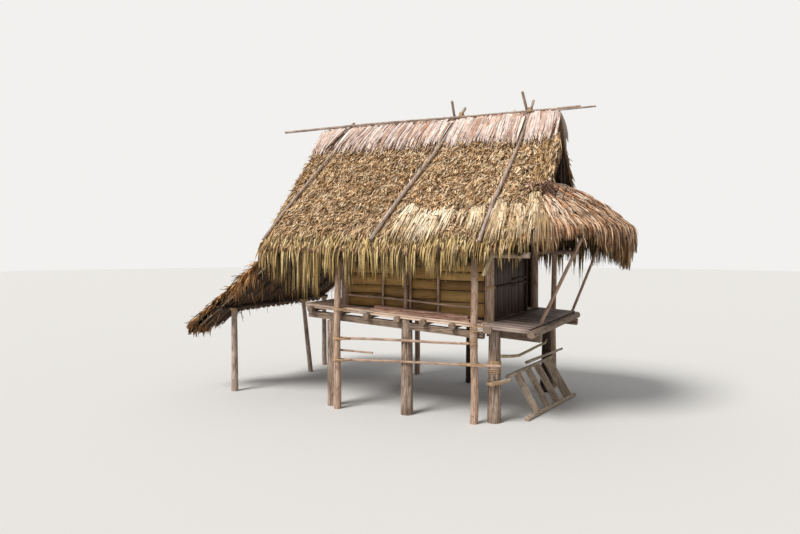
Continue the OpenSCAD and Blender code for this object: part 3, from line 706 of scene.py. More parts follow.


# Finishes of the loose leaves: name, colours, colour of the tips, and how dark a blade deep in
# the pile gets, partly from age and partly as painted shade
BROKEN = ("Dry palm leaf, broken", {0.0: "#7a5232", 0.2: "#c49868", 0.4: "#f2cd9b",
                                    0.7: "#fde0b6", 1.0: "#ffeccc"}, "#d0ab80", 0.75)
# The hanging leaves go nearly black deep in the pile: painted shade behind the fringe
HANGING = ("Dry palm leaf, hanging", {0.0: "#302411", 0.25: "#6f5630", 0.5: "#a98a53",
                                      0.75: "#d0b175", 1.0: "#f2dca8"}, "#a68a50", 0.15)
PALE = ("Dry palm leaf, pale",
        {0.0: "#a87c62", 0.25: "#cfab96", 0.5: "#e2c8b8", 1.0: "#efdfd3"}, "#f0dccc", 0.66)
NEW = ("Dry palm leaf, new", {0.0: "#c9a474", 0.35: "#efd6ae", 1.0: "#fff4de"}, "#d8b07c", 0.5)
VERGE = ("Dry palm leaf, verge",
         {0.0: "#7c5c38", 0.4: "#c39d6c", 0.8: "#e8c998", 1.0: "#f8e4c0"}, "#9c7a4a", 0.4)
ROTTED = ("Dry palm leaf, rotted",
          {0.0: "#1e130c", 0.35: "#4c3224", 0.7: "#946a54", 1.0: "#dcb298"}, "#4a2f1e", 0.6)
REDDISH = ("Dry palm leaf, reddish", {0.0: "#5c361e", 0.25: "#b98256", 0.5: "#ecba90",
                                      0.75: "#f8d8b6", 1.0: "#ffefdc"}, "#c08a58", 0.5)
RIM = ("Dry palm leaf, skirt rim",
       {0.0: "#573619", 0.35: "#a1764a", 0.6: "#cfa87a", 1.0: "#efd3ae"}, "#8e6638", 0.22)
BROWN = ("Dry palm leaf, brown",
         {0.0: "#6d4726", 0.4: "#ad7a48", 0.7: "#cf9c66", 1.0: "#e6c08c"}, "#8d6234", 0.4)


# Broken leaves lie flatter near a pole and calmer near the verges and the eave, none starts near
# the ridge, and few lie over the newer ones, whose places are given by x and y from and to
POLE_REACH = 0.14
VERGE_REACH = 0.25
EAVE_REACH = 0.35
RIDGE_BARE = 0.3
NEWER = ((0.3, 1.5, -1.95, -1.5), (2.1, math.inf, -math.inf, -1.45))
NEWER_SHARE = 0.15


def cover_slope(s, rng, side, shape, share, long, wide, heights, spread, curl):
    """A group of broken leaves all over a long slope: their share of the count, their scale in
    length and width, their heights in the pile, and the spread of their turn and curl"""
    tree, pole_tree = search_tree(SLABS[side]), search_tree(POLES[side])
    low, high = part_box(SLABS[side])
    first, last = (low.y, high.y - RIDGE_BARE) if side < 0 else (low.y + RIDGE_BARE, high.y)
    root, _ = rain(tree, int(s.field_count * share), (low.x, first), (high.x, last), rng)
    count = len(root)
    normal, way = slope_frame(side, count)
    free = beside(root, pole_tree, POLE_REACH)
    lift = rng.uniform(*heights, count)
    root = root + normal * (lift * s.pile * free)[:, None]
    x, y = root[:, 0], root[:, 1]
    to_edge = abs(low.y if side < 0 else high.y) - np.abs(y)
    verge = np.clip(np.minimum(x - low.x, high.x - x) / VERGE_REACH, 0.25, 1)
    upper = np.clip(to_edge / EAVE_REACH, 0, 1)
    calm = 0.3 + 0.7 * upper
    aim = turned(way, normal, rng.normal(0, spread, count) * verge * calm)
    aim = tilted(aim, normal, rng.normal(0.05, 0.16, count) * free * calm)
    length = s.field_length * long * rng.uniform(0.6, 1.45, count) * (1.7 - 0.7 * upper)
    uneven = 0.06 + 0.05 * np.sin(x * 9) * np.sin(x * 23 + 1)
    length = np.clip(length, 0.04, np.maximum(to_edge / math.cos(PITCH), 0) + uneven)
    width = s.field_width * wide * rng.uniform(0.65, 1.4, count) * (0.75 + 0.25 * upper)
    made = strew(rng, shape, root, aim, normal, length, width,
                 droop=rng.uniform(0, 2, count) + 9 * (1 - upper),
                 curl=rng.normal(0.1, curl, count) * free * calm, twist=0.6,
                 tree=tree, clearance=0.004)
    keep = clear_of(made, pole_tree, normal[0])
    if side < 0 and min(heights) > 0:
        over = np.any([(x > a) & (x < b) & (y > c) & (y < d) for a, b, c, d in NEWER], 0)
        keep &= ~over | (rng.random(count) < NEWER_SHARE)
    keep &= rng.random(count) < 0.5 + 0.5 * np.minimum(upper * 2, 1)
    tone = tone_of(rng, count, lift * (0.4 + 0.6 * upper))
    tone[:, :2] *= (0.35 + 0.65 * upper)[:, None]
    return shape, made[keep], tone[keep]


class HOUSE_OT_field(bpy.types.Operator):
    """The broken leaves that cover the two long slopes"""
    bl_idname = "house.field"
    bl_label = "Field leaves"

    def execute(self, context):
        s = context.scene.house_thatch
        rng = np.random.default_rng(s.seed)
        bit = model_blade([0.35, 0.7], [0.7, 1.0, 0.85, 0.2], 0.25)
        flat = model_blade([0.5], [0.7, 1.0, 0.25], 0.15)
        material = leaf_material(*BROKEN)
        for name, *layer in (
                ("front_leaves_inner", -1, flat, 0.8, 1.5, 1.3, (0.0, 0.5), 0.45, 0.3),
                ("front_leaves_outer", -1, bit, 1.0, 1.0, 1.0, (0.5, 1.0), 0.55, 0.6),
                ("back_leaves", 1, flat, 0.9, 1.35, 1.35, (0.0, 1.0), 0.6, 0.6)):
            joined(name, [cover_slope(s, rng, *layer)], material, "thatch_field")
        return {"FINISHED"}


def eave_line(node):
    """Places along the top outer edge of a hanging sheet, and the height of its lowest tips"""
    co = node_points(node)
    stations = np.unique(co[:, 0].round(3))
    top, tips = [], []
    for x in stations:
        near = co[np.abs(co[:, 0] - x) < 0.002]
        high = near[near[:, 2] > near[:, 2].max() - 0.01]
        top.append(high[np.argmax(np.abs(high[:, 1]))])
        tips.append(co[np.abs(co[:, 0] - x) < 0.12][:, 2].min())
    return stations, np.array(top), np.array(tips)


def hang_layer(s, rng, blade, side, line, trees, share, inset, climb, depth, clump, lift, fall):
    """One layer of tufted blades along an eave: its share of the count, how far behind the eave
    it hangs, how far up the slope it starts, its depth in the pile, the width of a tuft, its
    height over the slope, and how far down it hangs"""
    stations, top, tips = line
    slab, *clear = trees
    count = int(s.fringe_count * share)
    span = stations[-1] - stations[0]
    tufts = int(span / clump)
    middle = stations[0] + (np.arange(tufts) + rng.uniform(0.1, 0.9, tufts)) * span / tufts
    reach, swing = rng.uniform(0.5, 1.3, tufts), rng.normal(0, 0.2, tufts)
    which = rng.integers(0, tufts, count)
    off = rng.normal(0, clump * 0.33, count)
    x = np.clip(middle[which] + off, stations[0], stations[-1])
    eave = np.stack([np.interp(x, stations, top[:, i]) for i in range(3)], 1)
    normal, way = slope_frame(side, count)
    up = rng.uniform(*climb, count)
    root = eave - way * up[:, None] - side * inset * Y
    root = root + normal * (lift * rng.uniform(0.5, 1.3, count))[:, None]
    hem = np.interp(x, stations, tips)
    length = (eave[:, 2] - hem) * fall * reach[which] * rng.uniform(0.6, 1.12, count) + up
    # Blades of one tuft draw together towards its tip
    gather = side * np.arctan(1.3 * off / length) + swing[which] + rng.normal(0, 0.08, count)
    return laid(rng, blade, root, turned(way, normal, gather), normal, length,
                s.fringe_width * rng.uniform(0.5, 1.35, count), droop=(8, 13), curl=0.4, twist=0.9,
                tree=slab, clearance=lift * 0.8, depth=depth, clear=clear)


class HOUSE_OT_fringe(bpy.types.Operator):
    """The long leaf ends that hang along the two eaves"""
    bl_idname = "house.fringe"
    bl_label = "Eave fringes"

    def execute(self, context):
        s = context.scene.house_thatch
        rng = np.random.default_rng(s.seed + 1)
        blade = model_blade([0.2, 0.4, 0.6, 0.8], [0.6, 0.9, 1.0, 0.85, 0.6, 0.12], 0.2)
        material = leaf_material(*HANGING)
        for side, node in ((-1, "front_fringe"), (1, "back_fringe")):
            normal = next(slope_frame(side, 1))[0]
            trees = (search_tree(SLABS[side]), (search_tree(POLES[side]), normal),
                     (search_tree("loose_poles"), BAMBOO_SIDE))
            line = eave_line(node)
            # Outer, middle and inner blades; the inner ones, deepest in the pile, go nearly black
            # as painted shade behind the fringe
            groups = [hang_layer(s, rng, blade, side, line, trees, *layer) for layer in (
                (0.27, 0.0, (0.03, 0.4), 1.0, 0.15, 0.04, 1.18),
                (0.08, 0.04, (0.02, 0.2), 0.45, 0.12, 0.01, 0.9),
                (0.22, 0.1, (0.0, 0.05), 0.0, 0.09, 0.005, 0.62))]
            joined(node + "_leaves", groups, material, "thatch_fringe", node)
        return {"FINISHED"}


def ridge_layer(rng, blade, side, tree, poles, start, reach, depth, count):
    """One layer of ridge leaves on one side: how far down their roots start, the range of their
    lengths, their depth in the pile and their number"""
    low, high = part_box("ridge_cap")
    x = rng.uniform(low.x + 0.02, high.x + 0.03, count)
    normal, way = slope_frame(side, count)
    root = np.stack([x, np.full(count, side * 0.01), np.full(count, high.z - 0.02)], 1)
    root = root + way * (start + rng.uniform(0, 0.12, count))[:, None]
    over = rng.uniform(0.014, 0.06, count)
    lay_on(root, tree, over, normal[0])
    # Slanted on the left, straight on the right and at the very end
    along = (x - low.x) / (high.x - low.x)
    slant = (0.62 - 0.7 * along) * np.clip((x - low.x) / 0.5, 0.25, 1)
    aim = turned(way, normal, side * slant + rng.normal(0, 0.09, count))
    width = rng.uniform(0.04, 0.075, count)
    return laid(rng, blade, root, aim, normal, reach, width, droop=2.0, curl=0.1, twist=0.3,
                tree=tree, clearance=over, outward=normal[0], depth=depth * over / 0.06,
                clear=[(poles, normal[0])])


class HOUSE_OT_ridge(bpy.types.Operator):
    """The long pale leaves laid over the ridge"""
    bl_idname = "house.ridge"
    bl_label = "Ridge leaves"

    def execute(self, context):
        rng = np.random.default_rng(context.scene.house_thatch.seed + 2)
        blade = model_blade([0.14, 0.3, 0.5, 0.75], [0.85, 1.0, 1.0, 1.0, 0.75, 0.1], 0.1)
        tree = search_tree("ridge_cap", *SLABS.values())
        groups = []
        # The back has two thirds of the front's leaves
        for side, share in ((-1, 3), (1, 2)):
            poles = search_tree(POLES[side])
            for start, reach, depth, count in ((0.28, (0.26, 0.42), 0.8, 260),
                                               (0.08, (0.46, 0.66), 1.0, 440),
                                               (0.0, (0.56, 0.8), 1.0, 620)):
                groups.append(ridge_layer(rng, blade, side, tree, poles, start, reach, depth,
                                          count * share // 3))
        # Short torn ends that stand up between the two poles
        low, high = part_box("ridge_cap")
        count = 260
        root = np.stack([rng.uniform(low.x + 0.2, high.x - 0.1, count),
                         rng.uniform(-0.05, 0.05, count), np.full(count, high.z - 0.05)], 1)
        aim = np.stack([rng.normal(0.2, 0.5, count), rng.normal(0, 0.5, count),
                        np.full(count, 1.0)], 1)
        groups.append(laid(rng, blade, root, aim, (0.0, -1.0, 0.2), (0.07, 0.15), (0.012, 0.024),
                           droop=2.0, twist=1.0, depth=0.8, tones=(0.0, 0.25)))
        joined("ridge_leaves", groups, leaf_material(*PALE), "thatch_ridge")
        return {"FINISHED"}


# Where the newer leaves are tucked in on the front slope, from left to right: the line of their
# roots, with each fan's length, its slant towards the left, its spread and its number of blades
TUFTS = [
    (0.65, -1.43, 0.78, 0.44, 0.12, 30), (0.75, -1.47, 0.78, 0.32, 0.12, 30),
    (0.92, -1.53, 0.70, 0.34, 0.12, 28), (1.05, -1.55, 0.68, 0.30, 0.12, 28),
    (1.18, -1.54, 0.68, 0.28, 0.12, 28), (1.30, -1.52, 0.66, 0.30, 0.12, 26),
    (1.44, -1.51, 0.58, 0.26, 0.10, 22), (1.65, -1.54, 0.36, 0.12, 0.10, 10),
    (1.85, -1.50, 0.66, -0.08, 0.08, 20), (1.97, -1.51, 0.64, -0.04, 0.08, 20),
    (2.10, -1.54, 0.62, -0.04, 0.10, 20), (2.27, -1.43, 0.78, -0.14, 0.28, 80),
    (2.59, -1.49, 0.80, -0.16, 0.20, 60), (2.81, -1.32, 0.96, -0.14, 0.22, 90),
    (2.83, -1.32, 1.02, -0.34, 0.08, 26), (3.04, -1.62, 0.60, -0.28, 0.10, 18),
]

# Where the front slope, its right end and the skirt meet
JOINT = np.array([2.86, -1.17, 3.94])

# How far down the leaves start on the whole left verge
LEFT_VERGE = 3.1


class HOUSE_OT_tufts(bpy.types.Operator):
    """The newer leaves low on the front slope, the strands down the verges, and torn leaves"""
    bl_idname = "house.tufts"
    bl_label = "New leaves"

    def execute(self, context):
        rng = np.random.default_rng(context.scene.house_thatch.seed + 4)
        blade = model_blade([0.2, 0.4, 0.6, 0.8], [0.7, 1.0, 1.0, 0.8, 0.5, 0.1], 0.2)
        joint_tree = search_tree("front_thatch", "right_skirt")
        front = next(slope_frame(-1, 1))[0]
        clear = [(search_tree(POLES[-1]), front), (search_tree("loose_poles"), BAMBOO_SIDE)]
        groups = []
        for x, y, reach, slant, spread, count in TUFTS:
            normal, way = slope_frame(-1, count)
            root = np.array([x, y, RIDGE_Z + y * math.tan(PITCH)])
            root = root + rng.normal(0, 1, (count, 3)) * (0.035, 0.02, 0.02) + normal * 0.06
            aim = turned(way, normal, -slant + rng.normal(0, spread, count))
            groups.append(laid(rng, blade, root, aim, normal,
                               reach * rng.uniform(0.65, 1.1, count), (0.02, 0.042),
                               droop=(2.5, 5), curl=0.2, twist=0.7, tree=joint_tree,
                               clearance=(0.045, 0.075), clear=clear))
            tone = groups[-1][2]
            tone[:, :2] *= 0.65
            if x < 1.5:
                tone[:, :2] += 0.3
            elif x > 3:
                tone[:, (0, 2)] = 0, 0.4
        joined("new_leaves", groups, leaf_material(*NEW), "thatch_fringe")
        # Strands at each end, right and left: their number, the lowest root, and their mean lean
        groups = []
        for side, slab in SLABS.items():
            low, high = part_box(slab)
            tree = search_tree(slab)
            for end, count, lowest, lean in ((1, 560, 1.75, 0.1), (-1, 300, LEFT_VERGE, 0.0)):
                normal, way = slope_frame(side, count)
                down = rng.uniform(0.35, lowest, count)
                root = RIDGE_Z * Z + way * down[:, None]
                root = root + normal * rng.uniform(0.01, 0.05, count)[:, None]
                edge = high.x - 0.1 if end > 0 else low.x + 0.17 - 0.17 * down / LEFT_VERGE
                root[:, 0] = edge - end * rng.uniform(0.0, 0.22, count)
                aim = turned(way, normal, -side * end * rng.normal(lean, 0.13, count))
                groups.append(laid(rng, blade, root, aim, normal, (0.3, 0.6), (0.016, 0.034),
                                   droop=(0.5, 2.5), curl=0.3, twist=0.8, tree=tree,
                                   tones=(0.1, 0.7)))
        joined("verge_leaves", groups, leaf_material(*VERGE), "thatch_field")
        # Dark torn leaves at the joint of the slope and the skirt
        count = 90
        root = JOINT + rng.normal(0, 1, (count, 3)) * (0.12, 0.05, 0.05)
        aim = np.stack([rng.uniform(*ends, count)
                        for ends in ((-1.0, 0.8), (-0.7, -0.1), (-0.8, 0.1))], 1)
        torn = laid(rng, blade, root, aim, front, (0.14, 0.36), (0.014, 0.03), droop=(2, 6),
                    curl=0.8, twist=1.5, tree=joint_tree, clearance=0.02)
        joined("joint_leaves", [torn], leaf_material(*ROTTED), "thatch_skirt")
        return {"FINISHED"}


def nearest_round(points, axis_x, turns, count):
    """For each angle round the skirt's axis, the points that lie nearest to it"""
    angle = np.arctan2(points[:, 1], points[:, 0] - axis_x)
    return [points[np.argsort(np.abs(angle - a))[:count]] for a in turns]


class HOUSE_OT_skirt(bpy.types.Operator):
    """The leaves of the rounded skirt and its hanging rim"""
    bl_idname = "house.skirt"
    bl_label = "Skirt leaves"

    def execute(self, context):
        s = context.scene.house_thatch
        rng = np.random.default_rng(s.seed + 3)
        blade = model_blade([0.2, 0.4, 0.6, 0.8], [0.7, 1.0, 1.0, 0.8, 0.5, 0.1], 0.22)
        tree = search_tree("right_skirt", "skirt_fringe")
        low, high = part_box("right_skirt")
        # Round the skirt: how far the rim reaches and how low its tips hang
        co = node_points("skirt_fringe")
        axis_x, rim_z = co[:, 0].min(), low.z
        rim, tips = co[co[:, 2] > rim_z - 0.05], co[co[:, 2] < rim_z - 0.1]
        turns = np.linspace(-math.pi / 2, math.pi / 2, 60)
        reaches = [np.hypot(near[:, 0] - axis_x, near[:, 1]).max()
                   for near in nearest_round(rim, axis_x, turns, 4)]
        hems = [near[:, 2].min() for near in nearest_round(tips, axis_x, turns, 4)]
        root, normal = rain(tree, s.skirt_count, low, high, rng)
        count = len(root)
        lift = rng.random(count)
        root = root + normal * (lift * 0.03)[:, None]
        turn = np.arctan2(root[:, 1], root[:, 0] - axis_x)
        # At the front the leaves sweep out from the joint
        sweep = 0.85 * np.clip((-turn - 0.3) / 0.9, 0, 1)
        aim = turned(downhill(normal), normal, sweep + rng.normal(0, 0.27, count))
        aim = tilted(aim, normal, rng.normal(0.05, 0.11, count))
        to_hem = root[:, 2] - np.interp(turn, turns, hems)
        length = np.maximum(np.minimum(rng.uniform(0.22, 0.52, count), to_hem), 0.16)
        fall = np.clip((high.z - root[:, 2]) / (high.z - low.z), 0, 1)
        shape, made, tone = laid(rng, blade, root, aim, normal, length,
                                 rng.uniform(0.013, 0.027, count),
                                 droop=rng.uniform(4, 8, count) + 20 * fall ** 4,
                                 curl=0.35, twist=0.9, tree=tree, clearance=0.004 + 0.03 * lift,
                                 depth=(0.2 + 0.8 * lift) * (1 - 0.35 * fall))
        # Redder near the top, more straw-coloured towards the rim
        tone[:, 0] = np.clip(tone[:, 0] * 0.95 + 0.12 - 0.15 * fall, 0, 1)
        joined("skirt_leaves", [(shape, made, tone)], leaf_material(*REDDISH), "thatch_skirt")
        # Blades rooted on the lower edge: how far inside it, how deep in the pile, and their number
        groups = []
        for inset, depth, count in ((0.0, 1.0, 1000), (0.05, 0.6, 700), (0.1, 0.15, 500)):
            turn = rng.uniform(-1.57, 1.57, count)
            turn = turn + 0.012 * np.sin(turn * 70)
            out = np.stack([np.cos(turn), np.sin(turn), np.zeros(count)], 1)
            reach = np.interp(turn, turns, reaches) - inset - rng.uniform(0.0, 0.08, count)
            rise = rng.uniform(0.0, 0.08, count)
            root = np.array([axis_x, 0, rim_z]) + out * (reach - rise * 0.8)[:, None]
            root = root + Z * rise[:, None]
            normal = unit(out + Z * 0.5)
            sweep = 0.25 * np.clip((-turn - 0.4) / 0.9, 0, 1)
            aim = turned(unit(out * 0.12 - Z), normal, sweep + rng.normal(0, 0.16, count))
            hang = rim_z - np.interp(turn, turns, hems)
            hang = hang * rng.uniform(0.55, 1.1, count) + rise
            groups.append(laid(rng, blade, root, aim, normal, hang, (0.014, 0.03), droop=(6, 12),
                               twist=1.0, depth=depth))
        joined("skirt_fringe_leaves", groups, leaf_material(*RIM), "thatch_skirt", "skirt_fringe")
        return {"FINISHED"}


# The lean-to's low edge hangs long in front of this y; its courses step down by the lip. Reeds
# lie under the sheet in layers
CORNER_Y = -1.15
LEAN_LIP = 0.06
LEAN_SHEET = 0.11
REED_LAYER = 0.012
LEAN_NORMAL = np.array([[-math.sin(LEAN_PITCH), 0, math.cos(LEAN_PITCH)]])
LEAN_WAY = np.array([[-math.cos(LEAN_PITCH), 0, -math.sin(LEAN_PITCH)]])


def low_edge(node):
    """Along Y: how far left the low edge of a sheet reaches, and how low it hangs"""
    co = node_points(node)
    stations = np.unique(co[:, 1].round(3))
    lowest = np.array([co[np.abs(co[:, 1] - y) < 0.06].min(0) for y in stations])
    return stations, lowest[:, 0], lowest[:, 2]


class HOUSE_OT_lean_to(bpy.types.Operator):
    """The leaves, the ragged edges and the reed underside of the lean-to"""
    bl_idname = "house.lean_to"
    bl_label = "Lean-to leaves"

    def execute(self, context):
        rng = np.random.default_rng(context.scene.house_thatch.seed + 5)
        blade = model_blade([0.25, 0.5, 0.75], [0.7, 1.0, 0.9, 0.6, 0.12], 0.25)
        tree = search_tree("lean_to_thatch")
        low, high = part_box("lean_to_thatch")
        stations, edges, hems = low_edge("lean_to_thatch")
        root, _ = rain(tree, 5200, low, high, rng)
        count = len(root)
        normal, way = (np.tile(v, (count, 1)) for v in (LEAN_NORMAL, LEAN_WAY))
        lift = rng.random(count)
        aim = turned(way, normal, rng.normal(0, 0.35, count))
        aim = tilted(aim, normal, rng.normal(0.05, 0.12, count))
        # No leaf reaches far over the low edge
        room = np.maximum(root[:, 0] - np.interp(root[:, 1], stations, edges), 0) + 0.08
        length = np.minimum(rng.uniform(0.2, 0.45, count), room)
        groups = [laid(rng, blade, root + normal * (lift * 0.03)[:, None], aim, normal, length,
                       (0.02, 0.04), droop=(1, 3), curl=0.5, twist=1.0, tree=tree,
                       clearance=0.005, depth=lift)]
        # Curled leaves over the two raking edges: the side, x from and to, number and lengths
        back_end = edges[np.argmax(stations)]
        for side, start, end, count, reach in ((-1, low.x + 0.1, high.x - 0.1, 300, (0.12, 0.3)),
                                               (-1, -2.95, -2.3, 130, (0.25, 0.5)),
                                               (-1, low.x + 0.1, -3.5, 120, (0.16, 0.34)),
                                               (1, back_end + 0.1, high.x - 0.1, 260, (0.12, 0.3))):
            x = rng.uniform(start, end, count)
            y = np.full(count, side * (high.y - 0.03)) - side * rng.uniform(0.0, 0.06, count)
            aim = np.stack([rng.normal(-0.75, 0.15, count), side * rng.uniform(0.1, 0.5, count),
                            rng.normal(-0.45, 0.15, count)], 1)
            face = unit(np.array([[-0.5, side * 0.6, 0.9]]))
            groups.append(laid(rng, blade, np.stack([x, y, heights_on(tree, x, y) + 0.01], 1),
                               aim, face, reach, (0.018, 0.04), droop=(3, 7), curl=0.6, twist=1.5,
                               tones=(0.2, 1.0)))
        # The hanging low edge: long at the front corner, short behind it
        count = 900
        y = rng.uniform(low.y + 0.02, high.y - 0.02, count)
        x = np.interp(y, stations, edges) + rng.uniform(0.07, 0.16, count)
        z = heights_on(tree, x, y)
        root = np.stack([x, y, z - rng.uniform(0.0, 0.03, count)], 1)
        hang = z - np.interp(y, stations, hems)
        hang = hang * rng.uniform(0.75, np.where(y < CORNER_Y, 1.35, 1.0), count)
        groups.append(laid(rng, blade, root, LEAN_WAY, LEAN_NORMAL, hang, (0.014, 0.03),
                           droop=(14, 26), twist=1.0, depth=(0.3, 1), tones=(0.0, 0.7)))
        joined("lean_to_leaves", groups, leaf_material(*BROWN), "thatch_field")
        # Reeds under the slope in two layers, the first from the top down
        reed = model_cane([0.25, 0.5, 0.75], 5)
        under = LEAN_SHEET / math.cos(LEAN_PITCH) + 0.006
        count = 330
        way, face = np.tile(LEAN_WAY, (count, 1)), np.tile(LEAN_NORMAL, (count, 1))
        groups = []
        for layer in (0, 1):
            y = np.linspace(low.y + 0.05, high.y - 0.05, count) + rng.normal(0, 0.012, count)
            end = np.interp(y, stations, edges) + 0.14
            x = high.x - rng.uniform(0.06, 0.26, count)
            if layer:
                x = end + (x - end) * rng.uniform(0.45, 0.98, count)
            z = (high.z + LEAN_LIP - (high.x - x) * math.tan(LEAN_PITCH) - under
                 - REED_LAYER * layer)
            length = (x - end) / math.cos(LEAN_PITCH)
            if layer:
                length = np.minimum(length, rng.uniform(0.7, 1.5, count))
            aim = turned(way, face, rng.normal(0, 0.03, count))
            groups.append(laid(rng, reed, np.stack([x, y, z], 1), aim, -LEAN_NORMAL, length,
                               (0.014, 0.03), curl=0.03))
        joined("lean_to_reeds", groups, strip_material("Smoked reed", REED, 3), "dark_wood")
        return {"FINISHED"}


REED = {0.0: "#1e140c", 0.4: "#3f2c1b", 0.75: "#66492d", 1.0: "#9a7647"}
BAMBOO = {0.0: "#4f3c22", 0.3: "#8d6b3e", 0.6: "#ab834a", 1.0: "#cba668"}
SLAT = {0.0: "#1c1410", 0.4: "#3b2c23", 0.8: "#58463a", 1.0: "#7d6856"}
MAT = {0.0: "#7c6252", 0.3: "#a98a72", 0.6: "#cbad94", 1.0: "#e2c8b2"}
DECK = {0.0: "#5c4b42", 0.3: "#7d6a61", 0.6: "#988479", 1.0: "#b5a294"}


def boards(rng, shape, start, along, up, outward, span, heights, gap, piece=0.0,
           tones=(0.0, 1.0)):
    """A group of rows of boards side by side: where they start, the way of a row, the way the
    rows follow on, the outer side, the rows' length and heights, the gap, the mean length of a
    piece where a row has joints, and the range of tones"""
    roots, lengths, widths = [], [], []
    for low, height in heights:
        at = 0.0
        while at < span - 0.05:
            long = min(span - at, piece * rng.uniform(0.7, 1.3)) if piece else span - at
            roots.append(start + along * at + up * (low + height / 2))
            lengths.append(long - (gap if piece else 0))
            widths.append(height - gap)
            at += long
    root = np.array(roots)
    count = len(root)
    aim = unit(np.tile(along, (count, 1)) + up * rng.normal(0, 0.004, count)[:, None])
    root = root + outward * rng.uniform(-0.002, 0.004, count)[:, None]
    return laid(rng, shape, root, aim, outward, np.array(lengths), np.array(widths), tones=tones)


def courses(rng, total, mean):
    """Board heights with some spread that fill a total"""
    edges = [0.0]
    while edges[-1] < total - mean * 0.5:
        edges.append(min(total, edges[-1] + mean * rng.uniform(0.75, 1.3)))
    edges[-1] = total
    return [(a, b - a) for a, b in zip(edges, edges[1:])]


# Where the panels of the long walls meet, behind the poles of the front wall, and how much their
# foot falls for each metre to the right
PANEL_JOINTS = (0.015, 0.565, 1.105)
PANEL_FALL = 0.06


class HOUSE_OT_walls(bpy.types.Operator):
    """Flattened bamboo boards on the walls, and the slats at the deck end"""
    bl_idname = "house.walls"
    bl_label = "Walls"

    def execute(self, context):
        rng = np.random.default_rng(31)
        board = model_strip([0.33, 0.66], 0.06, 0.97)
        slat = model_strip([0.5], 0.16, 0.86)
        bamboo = strip_material("Flattened bamboo, weathered", BAMBOO, 9)
        for node, side in (("front_wall", -1), ("back_wall", 1)):
            low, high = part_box(node)
            groups = []
            edges = [low.x, *PANEL_JOINTS, high.x]
            for a, b in zip(edges, edges[1:]):
                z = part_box("floor")[1].z - PANEL_FALL * (a - low.x) - 0.03
                start = np.array([a + 0.004, low.y if side < 0 else high.y, z])
                rows = courses(rng, high.z - z - 0.02, 0.19)
                groups.append(boards(rng, board, start, X, Z, side * Y, b - a - 0.008, rows, 0.012))
            joined(node + "_boards", groups, bamboo, "bamboo_wall")
        for name, node, side, shape, wide, gap, slot in (
                ("left_wall_boards", "left_wall", -1, board, 0.16, 0.012, "bamboo_wall"),
                ("right_wall_slats", "right_wall", 1, slat, 0.085, 0.022, "dark_wood")):
            low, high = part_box(node)
            rows = courses(rng, high.y - low.y, wide)
            start = np.array([low.x if side < 0 else high.x, low.y, low.z + 0.02])
            group = boards(rng, shape, start, Z, Y, side * X, high.z - low.z - 0.03, rows, gap)
            material = bamboo if side < 0 else strip_material("Smoked slat", SLAT, 6)
            joined(name, [group], material, slot)
        return {"FINISHED"}


# The floor's height is taken this far from its ends, its strips lie a little above it, and it
# falls for each metre to the right
END_INSET = 0.02
STRIP_LIFT = 0.002
FLOOR_FALL = 0.058


class HOUSE_OT_floors(bpy.types.Operator):
    """The split bamboo laid on the floor and the deck, and the boards along the front edge"""
    bl_idname = "house.floors"
    bl_label = "Floors"

    def execute(self, context):
        rng = np.random.default_rng(32)
        strip = model_strip([0.25, 0.5, 0.75], 0.14, 0.8)
        for node, label, stops in (("floor", "Trodden bamboo, brown", MAT),
                                   ("deck", "Trodden bamboo, grey", DECK)):
            low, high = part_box(node)
            tree = search_tree(node)
            ends = [drop(tree, x, 0)[0] for x in (low.x + END_INSET, high.x - END_INSET)]
            run = np.array(ends[1] - ends[0])
            along = run / np.linalg.norm(run)
            outward = np.array([-along[2], 0, along[0]])
            level = ends[0].z + END_INSET * FLOOR_FALL + STRIP_LIFT
            start = np.array([low.x - 0.012, low.y, level])
            rows = courses(rng, high.y - low.y, 0.07)
            span = (high.x - low.x + 0.02) / along[0]
            groups = [boards(rng, strip, start, along, Y, outward, span, rows, 0.008, 1.5)]
            # Boards on edge along the front, one under the other
            for below, deep in ((0.0, 0.042), (0.036, 0.036)):
                start = np.array([low.x, low.y - 0.004, ends[0].z - below - 0.02])
                groups.append(boards(rng, strip, start, along, outward, -Y, span - 0.02,
                                     [(-deep / 2, deep)], 0.004, 1.9, (0.3, 1.0)))
            joined(node + "_strips", groups, strip_material(label, stops, 5), "bamboo_floor")
        return {"FINISHED"}


# Vine lashings: what they go round, their middle, the line that they wind along, turns and pitch
RAIL_JOINT = "front_eave_posts under_floor_rails"
LEAN_JOINT = "lean_to_posts lean_to_purlins"
RIDGE_JOINT = "ridge_poles front_hold_down_poles back_hold_down_poles"
LASHINGS = [
    (RAIL_JOINT, (-0.69, -1.78, 1.27), Z, 5, 0.012),
    (RAIL_JOINT, (-0.69, -1.79, 0.88), Z, 4, 0.012),
    ("front_eave_posts floor", (-0.69, -1.77, 1.79), Z, 4, 0.013),
    ("front_eave_posts joists under_floor_rails", (1.885, -1.67, 1.34), Z, 5, 0.034),
    ("front_eave_posts joists", (1.885, -1.67, 1.56), Z, 4, 0.034),
    (RAIL_JOINT, (1.885, -1.68, 0.99), Z, 4, 0.013),
    ("front_stumps under_floor_rails", (2.155, -1.44, 1.0), Z, 4, 0.016),
    ("front_stumps", (2.155, -1.42, 0.86), Z, 3, 0.03),
    ("front_stumps ladder_rails", (2.155, -1.46, 0.68), Z, 4, 0.016),
    ("corner_posts right_wall_frame", (2.025, -1.32, 2.24), Z, 3, 0.014),
    (LEAN_JOINT, (-3.315, -1.52, 1.66), Z, 5, 0.014),
    (LEAN_JOINT, (-3.315, 0.88, 1.66), Z, 5, 0.014),
    (LEAN_JOINT, (-3.315, 1.78, 1.66), Z, 5, 0.014),
    (RIDGE_JOINT, (-1.435, 0.0, 5.40), X, 5, 0.014),
    (RIDGE_JOINT, (0.985, 0.0, 5.42), X, 5, 0.014),
    (RIDGE_JOINT, (2.325, 0.0, 5.42), X, 5, 0.014),
]

